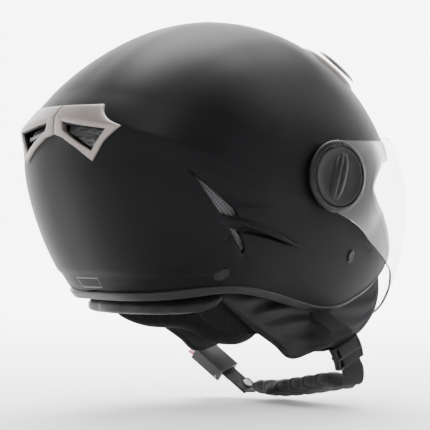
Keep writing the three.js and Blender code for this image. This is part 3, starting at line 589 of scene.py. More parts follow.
def mesh_finish(name, colour):
    """Moulded grille: a diagonal lattice pressed deep, with painted shade in its openings."""
    made = finish(name, colour, 0.6, depth=0.1, pattern="Weave", pattern_depth=1.0, Across=1700.0,
                  Along=1700.0)
    tree = made.node_tree
    shader = tree.nodes["Principled BSDF"]
    coords = tree.nodes.new("ShaderNodeTexCoord")
    split = tree.nodes.new("ShaderNodeSeparateXYZ")
    tree.links.new(coords.outputs["Object"], split.inputs[0])
    lattice, opening = 1900.0, 0.35
    slants = [sum_node(tree, kind, split.outputs[2], split.outputs[1]) for kind in ("ADD", "SUBTRACT")]
    rows = [sum_node(tree, "SINE", sum_node(tree, "MULTIPLY", slant, lattice)) for slant in slants]
    # Painted shade: the openings between the lattice bars are coloured near black, standing in for the shade
    # seen through them.
    hole_shade_mask = sum_node(tree, "GREATER_THAN", sum_node(tree, "MAXIMUM", *rows), opening)
    ramp = tree.nodes.new("ShaderNodeValToRGB")
    ramp.color_ramp.elements[0].color = (*[c * 0.12 for c in colour], 1)
    ramp.color_ramp.elements[1].color = (*colour, 1)
    tree.links.new(hole_shade_mask, ramp.inputs[0])
    tree.links.new(ramp.outputs[0], shader.inputs["Base Color"])
    return made


MATERIALS = {}


def build_materials(looks):
    """Every finish of the helmet, by its plain name."""
    shell = tuple(looks.shell_colour)
    trim = tuple(looks.vent_colour)
    MATERIALS.update(
        paint=finish("shell_paint", shell, looks.shell_gloss, fine=1400, depth=0.03, cloud=9, tone=0.08,
                     shine=0.03, glare=0.09),
        foam=finish("bead_foam", (0.02, 0.02, 0.022), 0.85, pattern="Pebble", pattern_depth=0.5, Scale=320.0),
        knit=finish("lining_knit", (0.004, 0.004, 0.0043), 0.95, sheen=0.05, glare=0.15, pattern="Weave",
                    pattern_depth=0.8, Across=2600.0, Along=2600.0),
        hide=finish("soft_hide", (0.006, 0.0062, 0.007), 0.48, glare=0.18, depth=0.1, pattern="Pebble",
                    pattern_depth=0.22, Scale=650.0),
        piping=finish("piping", (0.003, 0.003, 0.0032), 0.62, glare=0.2, depth=0.15, pattern="Weave",
                      pattern_depth=0.3, Across=2200.0, Along=2200.0),
        rubber=finish("edge_rubber", (0.004, 0.004, 0.0045), 0.42, glare=0.22, depth=0.06, fine=700),
        champagne=finish("champagne_paint", trim, 0.36, metal=0.35, fine=2600, depth=0.05, cloud=260,
                         tone=0.07, shine=0.05),
        grille=mesh_finish("vent_grille", (0.075, 0.075, 0.08)),
        plastic=finish("moulded_plastic", (0.0035, 0.0035, 0.0038), 0.34, glare=0.22, fine=1500, depth=0.08,
                       tone=0.12),
        clear=clear_finish("clear_sheet", (0.985, 0.99, 0.995)),
        webbing=finish("woven_strap", (0.005, 0.005, 0.0054), 0.85, sheen=0.05, glare=0.2, pattern="Weave",
                       pattern_depth=1.0, uv=True, Across=math.pi / 0.8, Along=math.pi / 1.3),
        tail=finish("woven_tail", (0.03, 0.03, 0.032), 0.85, sheen=0.2, pattern="Weave", pattern_depth=0.8,
                    Across=2400.0, Along=2400.0),
        quilt=finish("quilted_cloth", (0.006, 0.0058, 0.006), 0.7, sheen=0.08, glare=0.3, pattern="Weave",
                     pattern_depth=0.9, Across=3300.0, Along=3300.0),
        steel=finish("nickel_steel", (0.28, 0.28, 0.275), 0.36, metal=1.0, fine=500, depth=0.04, tone=0.06),
        grey=finish("grey_plastic", (0.018, 0.017, 0.019), 0.38, glare=0.3, fine=1500, depth=0.06, tone=0.1),
        red=finish("red_plastic", (0.42, 0.02, 0.03), 0.35, fine=1500, depth=0.05, tone=0.1),
        label=finish("label_foil", (0.03, 0.03, 0.032), 0.4, metal=0.2, fine=1200, depth=0.05),
    )


# ---- Property groups ----
class HelmetSizes(bpy.types.PropertyGroup):
    """Sizes of the fine pieces, in millimetres."""
    shell_wall: FloatProperty(
        name="Shell wall", description="Thickness of the shell at its openings", default=3.6, min=1, max=6)
    visor_wall: FloatProperty(
        name="Visor wall", description="Thickness of the clear visor", default=2.0, min=1, max=4)
    piping: FloatProperty(
        name="Piping", description="Diameter of the piping round the cheek aprons", default=5.6, min=2, max=9)
    quilt_pitch: FloatProperty(
        name="Quilt pitch", description="Length of one quilted lozenge on the strap's sleeve", default=17.0,
        min=8, max=30)


class HelmetLooks(bpy.types.PropertyGroup):
    """Colours and gloss of the helmet."""
    shell_colour: FloatVectorProperty(
        name="Shell colour", description="Paint of the shell", subtype="COLOR", size=3,
        default=(0.0020, 0.0020, 0.0026), min=0, max=1)
    shell_gloss: FloatProperty(
        name="Shell roughness", description="Roughness of the shell's paint", default=0.46, min=0, max=1)
    vent_colour: FloatVectorProperty(
        name="Vent colour", description="Paint of the vent frames", subtype="COLOR", size=3,
        default=(0.17, 0.146, 0.136), min=0, max=1)


# ---- Shell ----
def rim_polar():
    """The rim seen from the side, as turn about the origin and distance, the turn falling all the way."""
    line = np.vstack([through(RIM_BOTTOM, 40), through(RIM_FACE, 40)])
    line = line[(line[:, 0] > -165) & (line[:, 0] < 165)]
    turn = np.unwrap(np.arctan2(line[:, 1], line[:, 0]))
    keep = np.concatenate([[True], np.diff(turn) < 0])
    return turn[keep], np.linalg.norm(line[keep], axis=1)


RIM_TURN, RIM_FAR = rim_polar()


def ear_direction(turn, swing):
    """Directions swung away from the right ear by one angle and turned round it by another."""
    return np.stack([-np.cos(swing), np.sin(swing) * np.cos(turn), np.sin(swing) * np.sin(turn)], -1)


def rim_swing(turn):
    """Swing at which the skin reaches the rim, or a right angle where there is no rim."""
    wrapped = (turn - RIM_TURN.min()) % (2 * math.pi) + RIM_TURN.min()
    far = np.interp(wrapped, RIM_TURN[::-1], RIM_FAR[::-1], right=1e4)

    def past_rim(swing):
        return skin_radius(ear_direction(turn, swing)) * np.sin(swing) - far

    swing = find(past_rim, np.zeros(turn.shape), np.full(turn.shape, math.pi / 2))
    return np.where(swing > math.pi / 2 - 1e-6, math.pi / 2, swing)


def rim_corners():
    """Turns at which the rim meets the mirror plane: at the nape, and at the brow."""
    flat = skin_radius(ear_direction(RIM_TURN, np.full(RIM_TURN.shape, math.pi / 2)))
    within = np.flatnonzero(RIM_FAR < flat)
    return RIM_TURN[within[0]], RIM_TURN[within[-1]]


NAPE_TURN, BROW_TURN = rim_corners()


def ear_turns(count):
    """Turns round the ear with samples exactly on the rim's two corners."""
    share = (NAPE_TURN - BROW_TURN) / (2 * math.pi)
    lower = np.linspace(BROW_TURN, NAPE_TURN, int(count * share), endpoint=False)
    upper = np.linspace(NAPE_TURN, BROW_TURN + 2 * math.pi, count - len(lower), endpoint=False)
    return np.concatenate([lower, upper])


def open_window(build, outline, axes, where):
    """Opens a window in a skin: the nearby faces are cut along each edge of the outline, and those inside
    it go."""
    area = np.array(outline, float)
    low, high = area.min(0) - 3, area.max(0) + 3

    def near():
        found = []
        for face in build.faces:
            middle = face.calc_center_median() / MM
            flat = (middle[axes[0]], middle[axes[1]])
            if where(middle) and low[0] < flat[0] < high[0] and low[1] < flat[1] < high[1]:
                found.append((face, flat))
        return found

    for start, end in zip(area, np.roll(area, -1, 0)):
        faces = [face for face, _ in near()]
        edges = {edge for face in faces for edge in face.edges}
        corners = {corner for face in faces for corner in face.verts}
        place, normal = Vector((0, 0, 0)), Vector((0, 0, 0))
        place[axes[0]], place[axes[1]] = start * MM
        normal[axes[0]], normal[axes[1]] = end[1] - start[1], start[0] - end[0]
        bmesh.ops.bisect_plane(build, geom=[*faces, *edges, *corners], dist=2e-5, plane_co=place,
                               plane_no=normal)
    faces = near()
    distance = outline_distance(np.array([flat for _, flat in faces]), outline)
    inside = [face for (face, _), gap in zip(faces, distance) if gap < 0]
    bmesh.ops.delete(build, geom=inside, context="FACES")


def build_shell(sizes):
    """Right half: directions swung from the ear out to the rim or the mirror plane, at the skin's radius
    plus its relief. The windows are opened, the half is mirrored, and the wall is added inwards."""
    turn = ear_turns(SHELL_TURNS)
    share = np.linspace(0, 1, SHELL_ROWS)[:, None]
    direction = ear_direction(turn[None], rim_swing(turn)[None] * share)
    radius = skin_radius(direction)
    points = direction * (radius + relief(direction * radius[..., None]))[..., None]
    mesh = make_mesh("shell_skin", points.reshape(-1, 3), grid_faces(*points.shape[:2], wrap_columns=True))
    build = bmesh.new()
    build.from_mesh(mesh)
    for vent in (UPPER_VENT, LOWER_VENT):
        open_window(build, vent, (1, 2), lambda place: place.x < FLANK_FROM)
    open_window(build, REAR_WINDOW, (0, 2), lambda place: place.y > REAR_FROM)
    other = bmesh.ops.duplicate(build, geom=[*build.verts, *build.edges, *build.faces])["geom"]
    corners = [made for made in other if isinstance(made, bmesh.types.BMVert)]
    bmesh.ops.scale(build, vec=(-1, 1, 1), verts=corners)
    bmesh.ops.reverse_faces(build, faces=[made for made in other if isinstance(made, bmesh.types.BMFace)])
    bmesh.ops.remove_doubles(build, verts=build.verts, dist=2e-6)
    bmesh.ops.recalc_face_normals(build, faces=build.faces)
    build.to_mesh(mesh)
    build.free()
    mesh.shade_smooth()
    shell = piece("shell_skin", mesh, MATERIALS["paint"], "helmet", ("outer_shell",))
    wall = shell.modifiers.new("wall", "SOLIDIFY")
    wall.thickness = sizes.shell_wall * MM
    wall.offset = -1
    return shell


def rim_path():
    """The skin's edge all the way round the opening: the right side from nape to brow, then the left side
    back."""
    turn = np.linspace(NAPE_TURN, BROW_TURN, 260)
    direction = ear_direction(turn, rim_swing(turn))
    right = direction * skin_radius(direction)[:, None]
    return np.vstack([right, (right * [-1, 1, 1])[::-1][1:-1]])


def closed_along(path):
    """Unit directions of travel round a closed path, smoothed over a few points."""
    run = np.roll(path, -1, 0) - np.roll(path, 1, 0)
    for _ in range(3):
        run = (np.roll(run, 1, 0) + 2 * run + np.roll(run, -1, 0)) / 4
    return unit(run)


BEADING_WIDTH, BEADING_HEIGHT = 8.4, 5.0
BEADING_SHIFT = (3.4, -1.6)


def build_beading():
    """A rounded rubber section carried round the rim, gripping the shell's edge."""
    path = rim_path()
    run = closed_along(path)
    out = unit(path)
    across = unit(np.cross(run, out))
    out = unit(np.cross(across, run))
    profile = round_bar(BEADING_WIDTH, BEADING_HEIGHT, 1.7, 6) + BEADING_SHIFT
    rings = carry(profile, path, across, out, closed=True)
    return surface("rim_beading", rings, MATERIALS["rubber"], "helmet", ("edge_beading",),
                   wrap_rows=True, wrap_columns=True)


# ---- Vents ----
def build_rear_frame():
    """Each half is a band between its window and the outer edge, laid on the ridged skin, with rounded
    edges."""
    inner = [*REAR_WINDOW, REAR_WINDOW[0]]
    wing_tip, foot, low_middle, high_middle = (-69, 32), (-47, 6), (0, 27.5), (0, 50)
    shoulder = through([(-45.5, 50), (-50, 43.4), (-57.5, 37.2), wing_tip], 6)
    outer = [[high_middle, *shoulder], [wing_tip, (-57, 21), foot],
             [foot, (-30, 16.5), (-12, 25), low_middle], [low_middle, high_middle]]
    s = np.linspace(0, 1, 44, endpoint=False)
    far = np.vstack([evenly(edge, s) for edge in outer])
    near = np.vstack([evenly(edge, s) for edge in zip(inner, inner[1:])])
    share = np.array([0, 0, 0.02, 0.06, 0.14, 0.28, 0.42, 0.58, 0.72, 0.86, 0.94, 0.98, 1, 1])
    tall = np.array([-4, 0.4, 1.1, 1.6, 1.9, 2, 2, 2, 2, 1.9, 1.6, 1.1, 0.4, -1.6])
    flat = near[None] + (far - near)[None] * share[:, None, None]
    x, z = flat[..., 0], flat[..., 1]
    base = np.stack([x, reach_rear(x, z), z], -1)
    middle = np.abs(x) < 0.01
    tall = np.where(middle, np.maximum(tall[:, None], 1.9), tall[:, None])
    fine = base + unit(base) * (relief(base) + tall)[..., None]
    fine[..., 0] = np.where(middle, 0, fine[..., 0])
    faces = grid_faces(*fine.shape[:2], wrap_columns=True)
    points = fine.reshape(-1, 3)
    both = np.vstack([points, points * [-1, 1, 1]])
    faces = np.vstack([faces, faces[:, ::-1] + len(points)])
    mesh = make_mesh("rear_frame", both, faces)
    return piece("rear_frame", mesh, MATERIALS["champagne"], "helmet", ("rear_vent_frame",),
                 angle=50)


def vent_axes():
    """Seat, long axis and cross axis of the right top vent."""
    out = unit(np.array([-51.0, -89.0, 84.0]))
    run = np.array([-21.0, -25.0, -30.0])
    run = unit(run - run.dot(out) * out)
    return out * skin_radius(out), run, np.cross(out, run)


def pillow(length, width, tail, rows=22, count=120):
    """A teardrop outline filled by rings from its middle: share of the way out, and flat places."""
    turn = np.linspace(0, 2 * math.pi, count, endpoint=False)
    c, s = np.cos(turn), np.sin(turn)
    x = np.sign(c) * np.abs(c) ** 0.8 * length / 2
    y = np.sign(s) * np.abs(s) ** 0.75 * width / 2 * (1 - tail * c * 0.4)
    share = np.sin(np.linspace(0, math.pi / 2, rows))
    return share[:, None], np.stack([x, y], -1)[None] * share[:, None, None]


def on_vent_seat(flat):
    """Places on the skin, and their outward directions, for flat places about the right top vent's seat."""
    seat, run, cross = vent_axes()
    out = unit(seat + flat[..., :1] * run + flat[..., 1:] * cross)
    return out * skin_radius(out)[..., None], out


def build_top_vent(side):
    """A long teardrop laid on the skin: its height rises quickly to a flat back."""
    share, flat = pillow(58, 29, 0.45)
    skin, out = on_vent_seat(flat - [4, 0])
    tall = -1.5 + 4.6 * (1 - share**9)
    surface(f"top_vent_{side}", flip(skin + out * tall[..., None], side), MATERIALS["champagne"], "helmet",
            (f"top_vent_base_{side}",), wrap_columns=True)


def build_top_slider(side):
    """A ribbed teardrop that rides over the vent, with room under it for the whole of its travel."""
    share, flat = pillow(36, 16, 0.3)
    skin, out = on_vent_seat(flat)
    underside = 5.0 + 1.3 * share**2
    ribs = 0.35 * np.sin(flat[..., 0] * 2.4) * (np.abs(flat[..., 0]) < 8) * (share < 0.8)
    tall = underside + 0.2 + 2.3 * (1 - share**5) + ribs
    closed = np.concatenate([skin + out * tall[..., None], (skin + out * underside[..., None])[::-1]])
    surface(f"top_slider_{side}", flip(closed, side), MATERIALS["champagne"], f"top_vent_slider_{side}",
            (f"top_vent_slider_{side}",), wrap_columns=True)


def build_fin(side):
    """A thin blade beside the vents: a lens section between its two edges, sharp along the top."""
    s = np.linspace(0, 1, 60)
    upper = evenly(through([(67, -38), (50, -39), (20, -49), (-5, -60)], 20), s)
    lower = evenly(through([(67, -38.6), (60, -43.5), (46, -46), (20, -54.5), (-5, -61)], 20), s)
    t = np.array([0, 0.06, 0.22, 0.45, 0.68, 0.8, 0.84])[:, None, None]
    flat = upper[None] * (1 - t) + lower[None] * t
    base = np.stack([-reach_side(flat[..., 0], flat[..., 1]), flat[..., 0], flat[..., 1]], -1)
    out = unit(base)
    ends = np.sin(s * math.pi) ** 0.5
    tall = np.array([-0.4, 1.2, 2.3, 3.0, 3.3, 2.9, -1.4])[:, None] * ends[None]
    sunk = 3.2
    rings = np.concatenate([base + out * tall[..., None], (base - out * sunk)[::-1]])
    surface(f"vent_fin_{side}", flip(rings, side), MATERIALS["paint"], "helmet",
            (f"side_vent_fin_{side}",), wrap_rows=True, angle=50)


# ---- Visor and pivots ----
VISOR_LOWER = [(-33, -33.3), (-44, -37.6), (-57, -44.6), (-84, -61), (-118, -81), (-132, -97), (-136, -108),
               (-141, -118), (-147, -127), (-200, -129)]
# The round ear at each pivot: its radius, its distance from the mirror plane, and how far round it the sheet
# stays flat before it blends into the bowl.
EAR_RADIUS = 28.3
EAR_OUT = 126.6
EAR_FLAT, EAR_BLENDED = 29.0, 66.0
# How far out the rearmost column is aimed, and the visor's lift off its own form.
EAR_REACH = 123.0
VISOR_LIFT = 3.0
# The band's top edge: its level beside the ears, and where it climbs to the full height at the brow.
BAND_SIDE = 23.4
BAND_CLIMB = (95, 150)
VISOR_COLUMNS, VISOR_ROWS = 321, 90


def visor_edge(y, top, upper):
    """Height of the visor's upper or lower edge: the ear's circle, then the band's own edge."""
    chord = np.sqrt(np.maximum(EAR_RADIUS**2 - (y - PIVOT[0]) ** 2, 0))
    if upper:
        band = BAND_SIDE + (top - BAND_SIDE) * fade(-y, *BAND_CLIMB)
        return np.where(y > PIVOT[0], PIVOT[1] + chord, np.maximum(PIVOT[1] + chord, band))
    lower_y, lower_z = np.array(VISOR_LOWER, float).T
    return np.where(y > PIVOT[0], PIVOT[1] - chord, np.interp(-y, -lower_y, lower_z))


def build_visor(sizes):
    """Columns by turn round the upright axis and rows between the lower and upper edges; the skin of the
    visor's own form, sinking to a flat round ear at each pivot."""
    top = node_box("visor")[1][2]
    last_turn = math.atan2(EAR_REACH, -(PIVOT[0] + EAR_RADIUS))
    turn = last_turn * np.sin(np.linspace(-math.pi / 2, math.pi / 2, VISOR_COLUMNS))

    def place(z):
        def at(r):
            return np.stack([np.sin(turn) * r, -np.cos(turn) * r, z], -1)

        def outside(r):
            return np.linalg.norm(at(r), axis=-1) - visor_radius(unit(at(r)))

        return at(find(outside, np.zeros(z.shape), np.full(z.shape, 250.0)))

    edges = []
    for upper in (False, True):
        z = np.full(turn.shape, PIVOT[1])
        for _ in range(30):
            z = 0.5 * z + 0.5 * visor_edge(place(z)[:, 1], top, upper)
        edges.append(z)
    share = 0.5 - 0.5 * np.cos(np.linspace(0, math.pi, VISOR_ROWS)[:, None])
    grid = np.stack([place(z) for z in edges[0] + (edges[1] - edges[0]) * share])
    around = np.hypot(grid[..., 1] - PIVOT[0], grid[..., 2] - PIVOT[1])
    flat = 1 - fade(around, EAR_FLAT, EAR_BLENDED)
    grid = grid + unit(grid) * VISOR_LIFT
    grid[..., 0] = np.sign(grid[..., 0]) * (np.abs(grid[..., 0]) * (1 - flat) + EAR_OUT * flat)
    visor = surface("clear_visor", grid, MATERIALS["clear"], "visor", ("visor",))
    wall = visor.modifiers.new("wall", "SOLIDIFY")
    wall.thickness = sizes.visor_wall * MM
    wall.offset = 0


RING_DIMPLES = np.radians([35, 95, 155, 215, 275, 335])
KNOB_THICKNESS = 5.0
GRIP_LEAN = math.radians(106)
GRIP_COLUMNS = 96


def build_pivot_ring(side):
    """Turned ring with six dimples."""
    low, high = node_box("visor_ring_left")
    near, far = low[0], high[0]
    ring = lathe([(24.6, near), (24.6, far - 0.5), (24.9, far - 0.1), (25.5, far), (26.5, far - 0.3),
                  (27.6, far - 0.9), (28.4, far - 1.5), (28.8, far - 2.1), (28.8, near - 1.2)], 192)
    turn = np.linspace(0, 2 * math.pi, 192, endpoint=False)
    apart = 2 * 26.2 * np.sin((turn[:, None] - RING_DIMPLES) / 2)
    ring[3:5, :, 0] += np.exp(-((apart / 0.75) ** 2)).max(1)
    surface(f"pivot_ring_{side}", flip(ring, side), MATERIALS["plastic"], "visor",
            (f"visor_ring_{side}",), wrap_rows=True, wrap_columns=True, angle=60)


def build_pivot_knob(side):
    """A dished knob with a pillow grip across it, grooved along its middle."""
    base = node_box("pivot_knob_left")[0][0]
    top = base + KNOB_THICKNESS
    disc = lathe([(0, top - 0.5), (8, top - 0.6), (15, top - 0.9), (19, top - 0.9), (21.6, top - 0.1),
                  (22.8, top + 0.1), (23.5, top - 0.2), (23.9, top - 0.9), (23.9, top - 2.2),
                  (13.5, top - 2.3), (13.5, base), (0, base)], 128)
    share, flat = pillow(40, 15, 0.0, 24, GRIP_COLUMNS)
    groove = 1.2 * np.exp(-((flat[..., 1] / 1.5) ** 2)) * (1 - share**3)
    tall = top - 1.4 + 3.9 * (1 - share**4) ** 0.8 - groove
    y = PIVOT[0] + flat[..., 0] * math.cos(GRIP_LEAN) - flat[..., 1] * math.sin(GRIP_LEAN)
    z = PIVOT[1] + flat[..., 0] * math.sin(GRIP_LEAN) + flat[..., 1] * math.cos(GRIP_LEAN)
    closing = np.broadcast_to([-(top - 1.6), *PIVOT], (1, GRIP_COLUMNS, 3))
    grip = np.concatenate([np.stack([-tall, y, z], -1), closing])
    faces = [grid_faces(*part.shape[:2], wrap_columns=True) for part in (disc, grip)]
    points = np.vstack([disc.reshape(-1, 3), grip.reshape(-1, 3)])
    faces = np.vstack([faces[0], faces[1] + disc.size // 3])
    mesh = make_mesh(f"turning_knob_{side}", flip(points, side), faces)
    piece(f"turning_knob_{side}", mesh, MATERIALS["plastic"], f"pivot_knob_{side}",
          (f"pivot_knob_{side}",), angle=60)


# ---- Fixings ----
# A button's section from its middle: share of its radius, and height over the skin.
BUTTON_SECTION = [(0, 1.2), (0.35, 1.2), (0.55, 1.35), (0.7, 1.5), (0.82, 1.2), (0.86, 0.4), (0.93, 0.4),
                  (1.0, 0.7), (1.1, 0.2), (1.12, -1.5)]


def build_button(side, name, place, radius, stretch, node):
    """A dished round or oval button set in the skin."""
    turn = np.linspace(0, 2 * math.pi, 64, endpoint=False)
    share, rise = np.array(BUTTON_SECTION)[:, :, None].transpose(1, 0, 2)
    y = place[0] + share * radius * np.cos(turn)
    z = place[1] + share * radius * stretch * np.sin(turn)
    points = np.stack([-(reach_side(y, z) + rise), y, z], -1)
    surface(f"{name}_{side}", flip(points, side), MATERIALS["plastic"], "helmet",
            (f"{node}_{side}",), wrap_columns=True, angle=60)


LABEL_BOTTOM, LABEL_HEIGHT = -95.5, 9.5


def build_label():
    """A blank foil plate with a raised border, bent to the nape."""
    low, high = node_box("label_plate")
    u, v = np.meshgrid(np.linspace(0, 1, 60), np.linspace(0, 1, 24), indexing="ij")
    x = low[0] + (high[0] - low[0]) * u * (0.88 + 0.12 * v)
    z = LABEL_BOTTOM + LABEL_HEIGHT * v
    base = np.stack([x, reach_rear(x, z), z], -1)
    edge = np.minimum(np.minimum(u, 1 - u) * 33, np.minimum(v, 1 - v) * LABEL_HEIGHT)
    base[..., 1] += 0.9 * fade(edge, 0, 0.8) - 0.45 * fade(edge, 0.9, 1.5) - 0.5
    plate = base + unit(base) * relief(base)[..., None]
    surface("nape_label", plate, MATERIALS["label"], "helmet", ("label_plate",))


# ---- Linings ----
CHEEK = [(10, -44), (22, -78), (-20, -94), (-62, -98), (-92, -84), (-82, -54), (-50, -40), (-10, -40)]
# The cheek pad's two faces: depths under the skin, and the least distances from the mirror plane.
CHEEK_DEPTHS = (36, 50)
CHEEK_ROOM = (62, 56.5)


def filled(outline, share, count):
    """Flat rings from the middle of a smooth closed outline out to it, count samples to each stretch."""
    edge = through([*outline, outline[0]], count)[:-1]
    middle = edge.mean(0)
    return middle + (edge[None] - middle) * share[:, None, None]


def seen_from_side(x, flat):
    """Right-hand points at distances from the mirror plane and flat places seen from the side."""
    return np.stack([-x, flat[..., 0], flat[..., 1]], -1)


def build_cheek_pad(side):
    """A soft pad inside the cheek: two faces between the foam and the head, joined round the edge and
    swollen."""
    flat = filled(CHEEK, np.linspace(0, 1, 14), 12)
    skin = reach_side(flat[..., 0], flat[..., 1])
    outer, inner = (seen_from_side(np.maximum(skin - depth, least), flat)
                    for depth, least in zip(CHEEK_DEPTHS, CHEEK_ROOM))
    rings = np.concatenate([outer, inner[::-1]])
    mesh = make_mesh(f"cheek_core_{side}", flip(rings.reshape(-1, 3), side),
                     grid_faces(*rings.shape[:2], wrap_columns=True))
    made = piece(f"cheek_cushion_{side}", swell(mesh, 4.5, 2.0, 4.0), MATERIALS["knit"], "helmet",
                 (f"cheek_pad_{side}",))


# Depths of the crown padding's outer and inner faces under the skin.
CROWN_OUTER, CROWN_INNER = 35.2, 36.0


def build_crown_lining():
    """A padded cap inside the foam: the skin drawn in, thick between its eight quilting seams, closed at its
    edge, and reaching lower on the left."""
    turn = np.linspace(0, 2 * math.pi, 160, endpoint=False)
    lowest = np.radians(90) + np.radians(22) * (0.5 + 0.5 * np.cos(turn))
    share = np.linspace(0, 1, 60)[:, None]
    tilt = lowest[None] * share
    direction = np.stack([np.sin(tilt) * np.cos(turn), np.sin(tilt) * np.sin(turn), np.cos(tilt)], -1)
    radius = skin_radius(direction)
    seams = np.abs(np.sin(turn * 4))[None] ** 0.5 * np.clip(share * 6, 0, 1)
    thick = (5.0 + 2.5 * seams) * np.sqrt(np.clip(1 - share**10, 0, 1))
    outer = direction * (radius - CROWN_OUTER)[..., None]
    inner = direction * (radius - CROWN_INNER - thick)[..., None]
    made = surface("crown_padding", np.concatenate([outer, inner[::-1]]), MATERIALS["knit"], "helmet",
                   ("crown_liner",), wrap_columns=True)


# The roll's middle line by its turn from the rear centre: distance behind the origin, and height.
ROLL_TURN = [0, 0.45, 0.8, 1.1, 1.28]
ROLL_BEHIND = [91, 84, 69, 52, 42]
ROLL_HEIGHT = [-106, -106, -106, -104, -100]
ROLL_HALF_WIDTH = 80
ROLL_STATIONS = 90


def build_neck_roll():
    """A soft roll under the nape: a fat section carried round behind the head, pinched at its ends, then
    swollen."""
    turn = np.linspace(-ROLL_TURN[-1], ROLL_TURN[-1], ROLL_STATIONS)
    behind, height = (np.interp(np.abs(turn), ROLL_TURN, row) for row in (ROLL_BEHIND, ROLL_HEIGHT))
    path = np.stack([np.sin(turn) * ROLL_HALF_WIDTH, behind, height], -1)
    for _ in range(6):
        path[1:-1] = (path[:-2] + 2 * path[1:-1] + path[2:]) / 4
    run = along(path)
    out = unit(path * [1, 1, 0])
    out = unit(out - (out * run).sum(1)[:, None] * run)
    up = np.cross(run, out)
    size = (1 - 0.6 * np.abs(np.linspace(-1, 1, ROLL_STATIONS)) ** 5)[:, None, None]
    lean = math.radians(52)
    tilted = out * math.cos(lean) + up * math.sin(lean)
    raised = up * math.cos(lean) - out * math.sin(lean)
    rings = carry(round_bar(12.5, 25, 6.2, 7)[None] * size, path, tilted, raised)
    mesh = make_mesh("roll_core", rings.reshape(-1, 3), grid_faces(*rings.shape[:2], wrap_columns=True))
    made = piece("nape_roll", swell(mesh, 4.5, 2.0, 3.0), MATERIALS["hide"], "helmet",
                 ("neck_roll",))


APRON = [(38, -100), (30, -106), (4, -125), (-20, -140), (-36, -151), (-60, -146), (-100, -136),
         (-119, -121), (-127, -104), (-127, -84)]
# The line under the rim that the apron hangs from, from its front to its rear.
APRON_HANG = [(-121, -79), (-98, -96), (-58, -108), (5, -96), (50, -91)]
APRON_REAR, APRON_LENGTH = 26, 138


def build_apron(sizes, side):
    """A hanging cheek panel: rows from the rim down to its outline, bowed outwards, with soft level folds,
    and a round piping along its lower edge."""
    low, high = node_box("cheek_apron_left")
    middle = (low[0] + high[0]) / 2
    s = np.linspace(0, 1, 150)
    lower = evenly(through(APRON, 14), s)
    top_y = APRON_REAR - APRON_LENGTH * s
    upper = np.stack([top_y, np.interp(top_y, *np.array(APRON_HANG, float).T)], -1)
    t = np.linspace(0, 1, 50)[:, None]
    flat = upper[None] * (1 - t[..., None]) + lower[None] * t[..., None]
    y, z = flat[..., 0], flat[..., 1]
    bow = 5.5 * np.sin(t * math.pi * 0.62 + 0.5) * np.sin(s * math.pi) ** 0.4
    waves = np.sin(z * 0.42 + 0.03 * y + 1.5 * np.sin(y * 0.045))
    folds = 0.9 * waves * fade(t, 0.05, 0.2) * (1 - fade(t, 0.8, 0.95)) * np.sin(s * math.pi) ** 0.5
    outer = seen_from_side(middle + 2.0 + bow + folds, flat)
    inner = seen_from_side(np.full(y.shape, middle - 3.5), flat)
    made = surface(f"cheek_panel_{side}", flip(np.concatenate([outer, inner[::-1]]), side),
                   MATERIALS["hide"], "helmet", (f"cheek_apron_{side}",), wrap_rows=True)
    path = seen_from_side(np.full(len(lower), middle + 0.5), lower)
    run = along(path)
    out = np.broadcast_to([-1.0, 0, 0], run.shape)
    section = round_bar(sizes.piping, sizes.piping, sizes.piping / 2, 6)
    rings = carry(section, path, np.cross(run, out), out)
    surface(f"panel_piping_{side}", flip(rings, side), MATERIALS["piping"], "helmet",
            wrap_columns=True)


LOBE = [(57, -98), (51, -118), (22, -130), (-20, -134.5), (-46, -146), (-78, -149), (-100, -138),
        (-108, -116), (-90, -98), (-40, -96), (20, -94)]


def build_lobe(side):
    """A soft lobe inside each apron: rings from the middle of its outline, bulging towards the chin."""
    share = np.sin(np.linspace(0, math.pi / 2, 26))
    flat = filled(LOBE, share, 10)
    bulge = 8.5 * np.sqrt(np.clip(1 - share**3, 0, 1))
    thick = np.broadcast_to(bulge[:, None], flat.shape[:2])
    inner = seen_from_side(60 - thick, flat)
    outer = seen_from_side(np.full(flat.shape[:2], 60.5), flat)
    made = surface(f"apron_lobe_{side}", flip(np.concatenate([inner, outer[::-1]]), side), MATERIALS["knit"],
                   "helmet", wrap_columns=True)


# ---- Chin strap ----
def ribbon(name, path, across, width, wall, material, body, replaced=()):
    """Flat webbing carried along a path, with rounded edges and its own length and breadth as its map."""
    run = along(path)
    across = unit(across - (across * run).sum(1)[:, None] * run)
    out = np.cross(run, across)
    profile = round_bar(width, wall, wall / 2, 4)
    rings = carry(profile, path, across, out)
    travelled = lengths(path)
    travelled = np.concatenate([travelled[:1], travelled, travelled[-1:]])
    u = np.broadcast_to(profile[:, 0], rings.shape[:2])
    v = np.broadcast_to(travelled[:, None], rings.shape[:2])
    return surface(name, rings, material, body, replaced, wrap_columns=True, uv=np.stack([u, v], -1))


# The webbing, in its flat lie: how wide and thick it is, and how it leans forward for each step down.
STRAP_WIDTH, STRAP_WALL = 22, 1.7
STRAP_LEAN = 0.48
# Where it leaves the helmet on the left, seen from the front, and the straight run down on the right.
EXIT = (71.1, -117.8)
RUN_TOP, RUN_BOTTOM = (-87.4, -130.8), (-85, -164.8)


def strap_start():
    """Distance from the mirror plane at which the webbing starts inside the shell."""
    return float(reach_side(*np.array(STRAP_ANCHOR), 4.0)) - 3.5


def leaning(line, lean):
    """A line seen from the front, leaning forward below the level where it leaves the helmet."""
    line = np.asarray(line, float)
    y = STRAP_ANCHOR[0] + lean * np.minimum(0, line[:, 1] - EXIT[1])
    return np.stack([line[:, 0], y, line[:, 1]], -1)


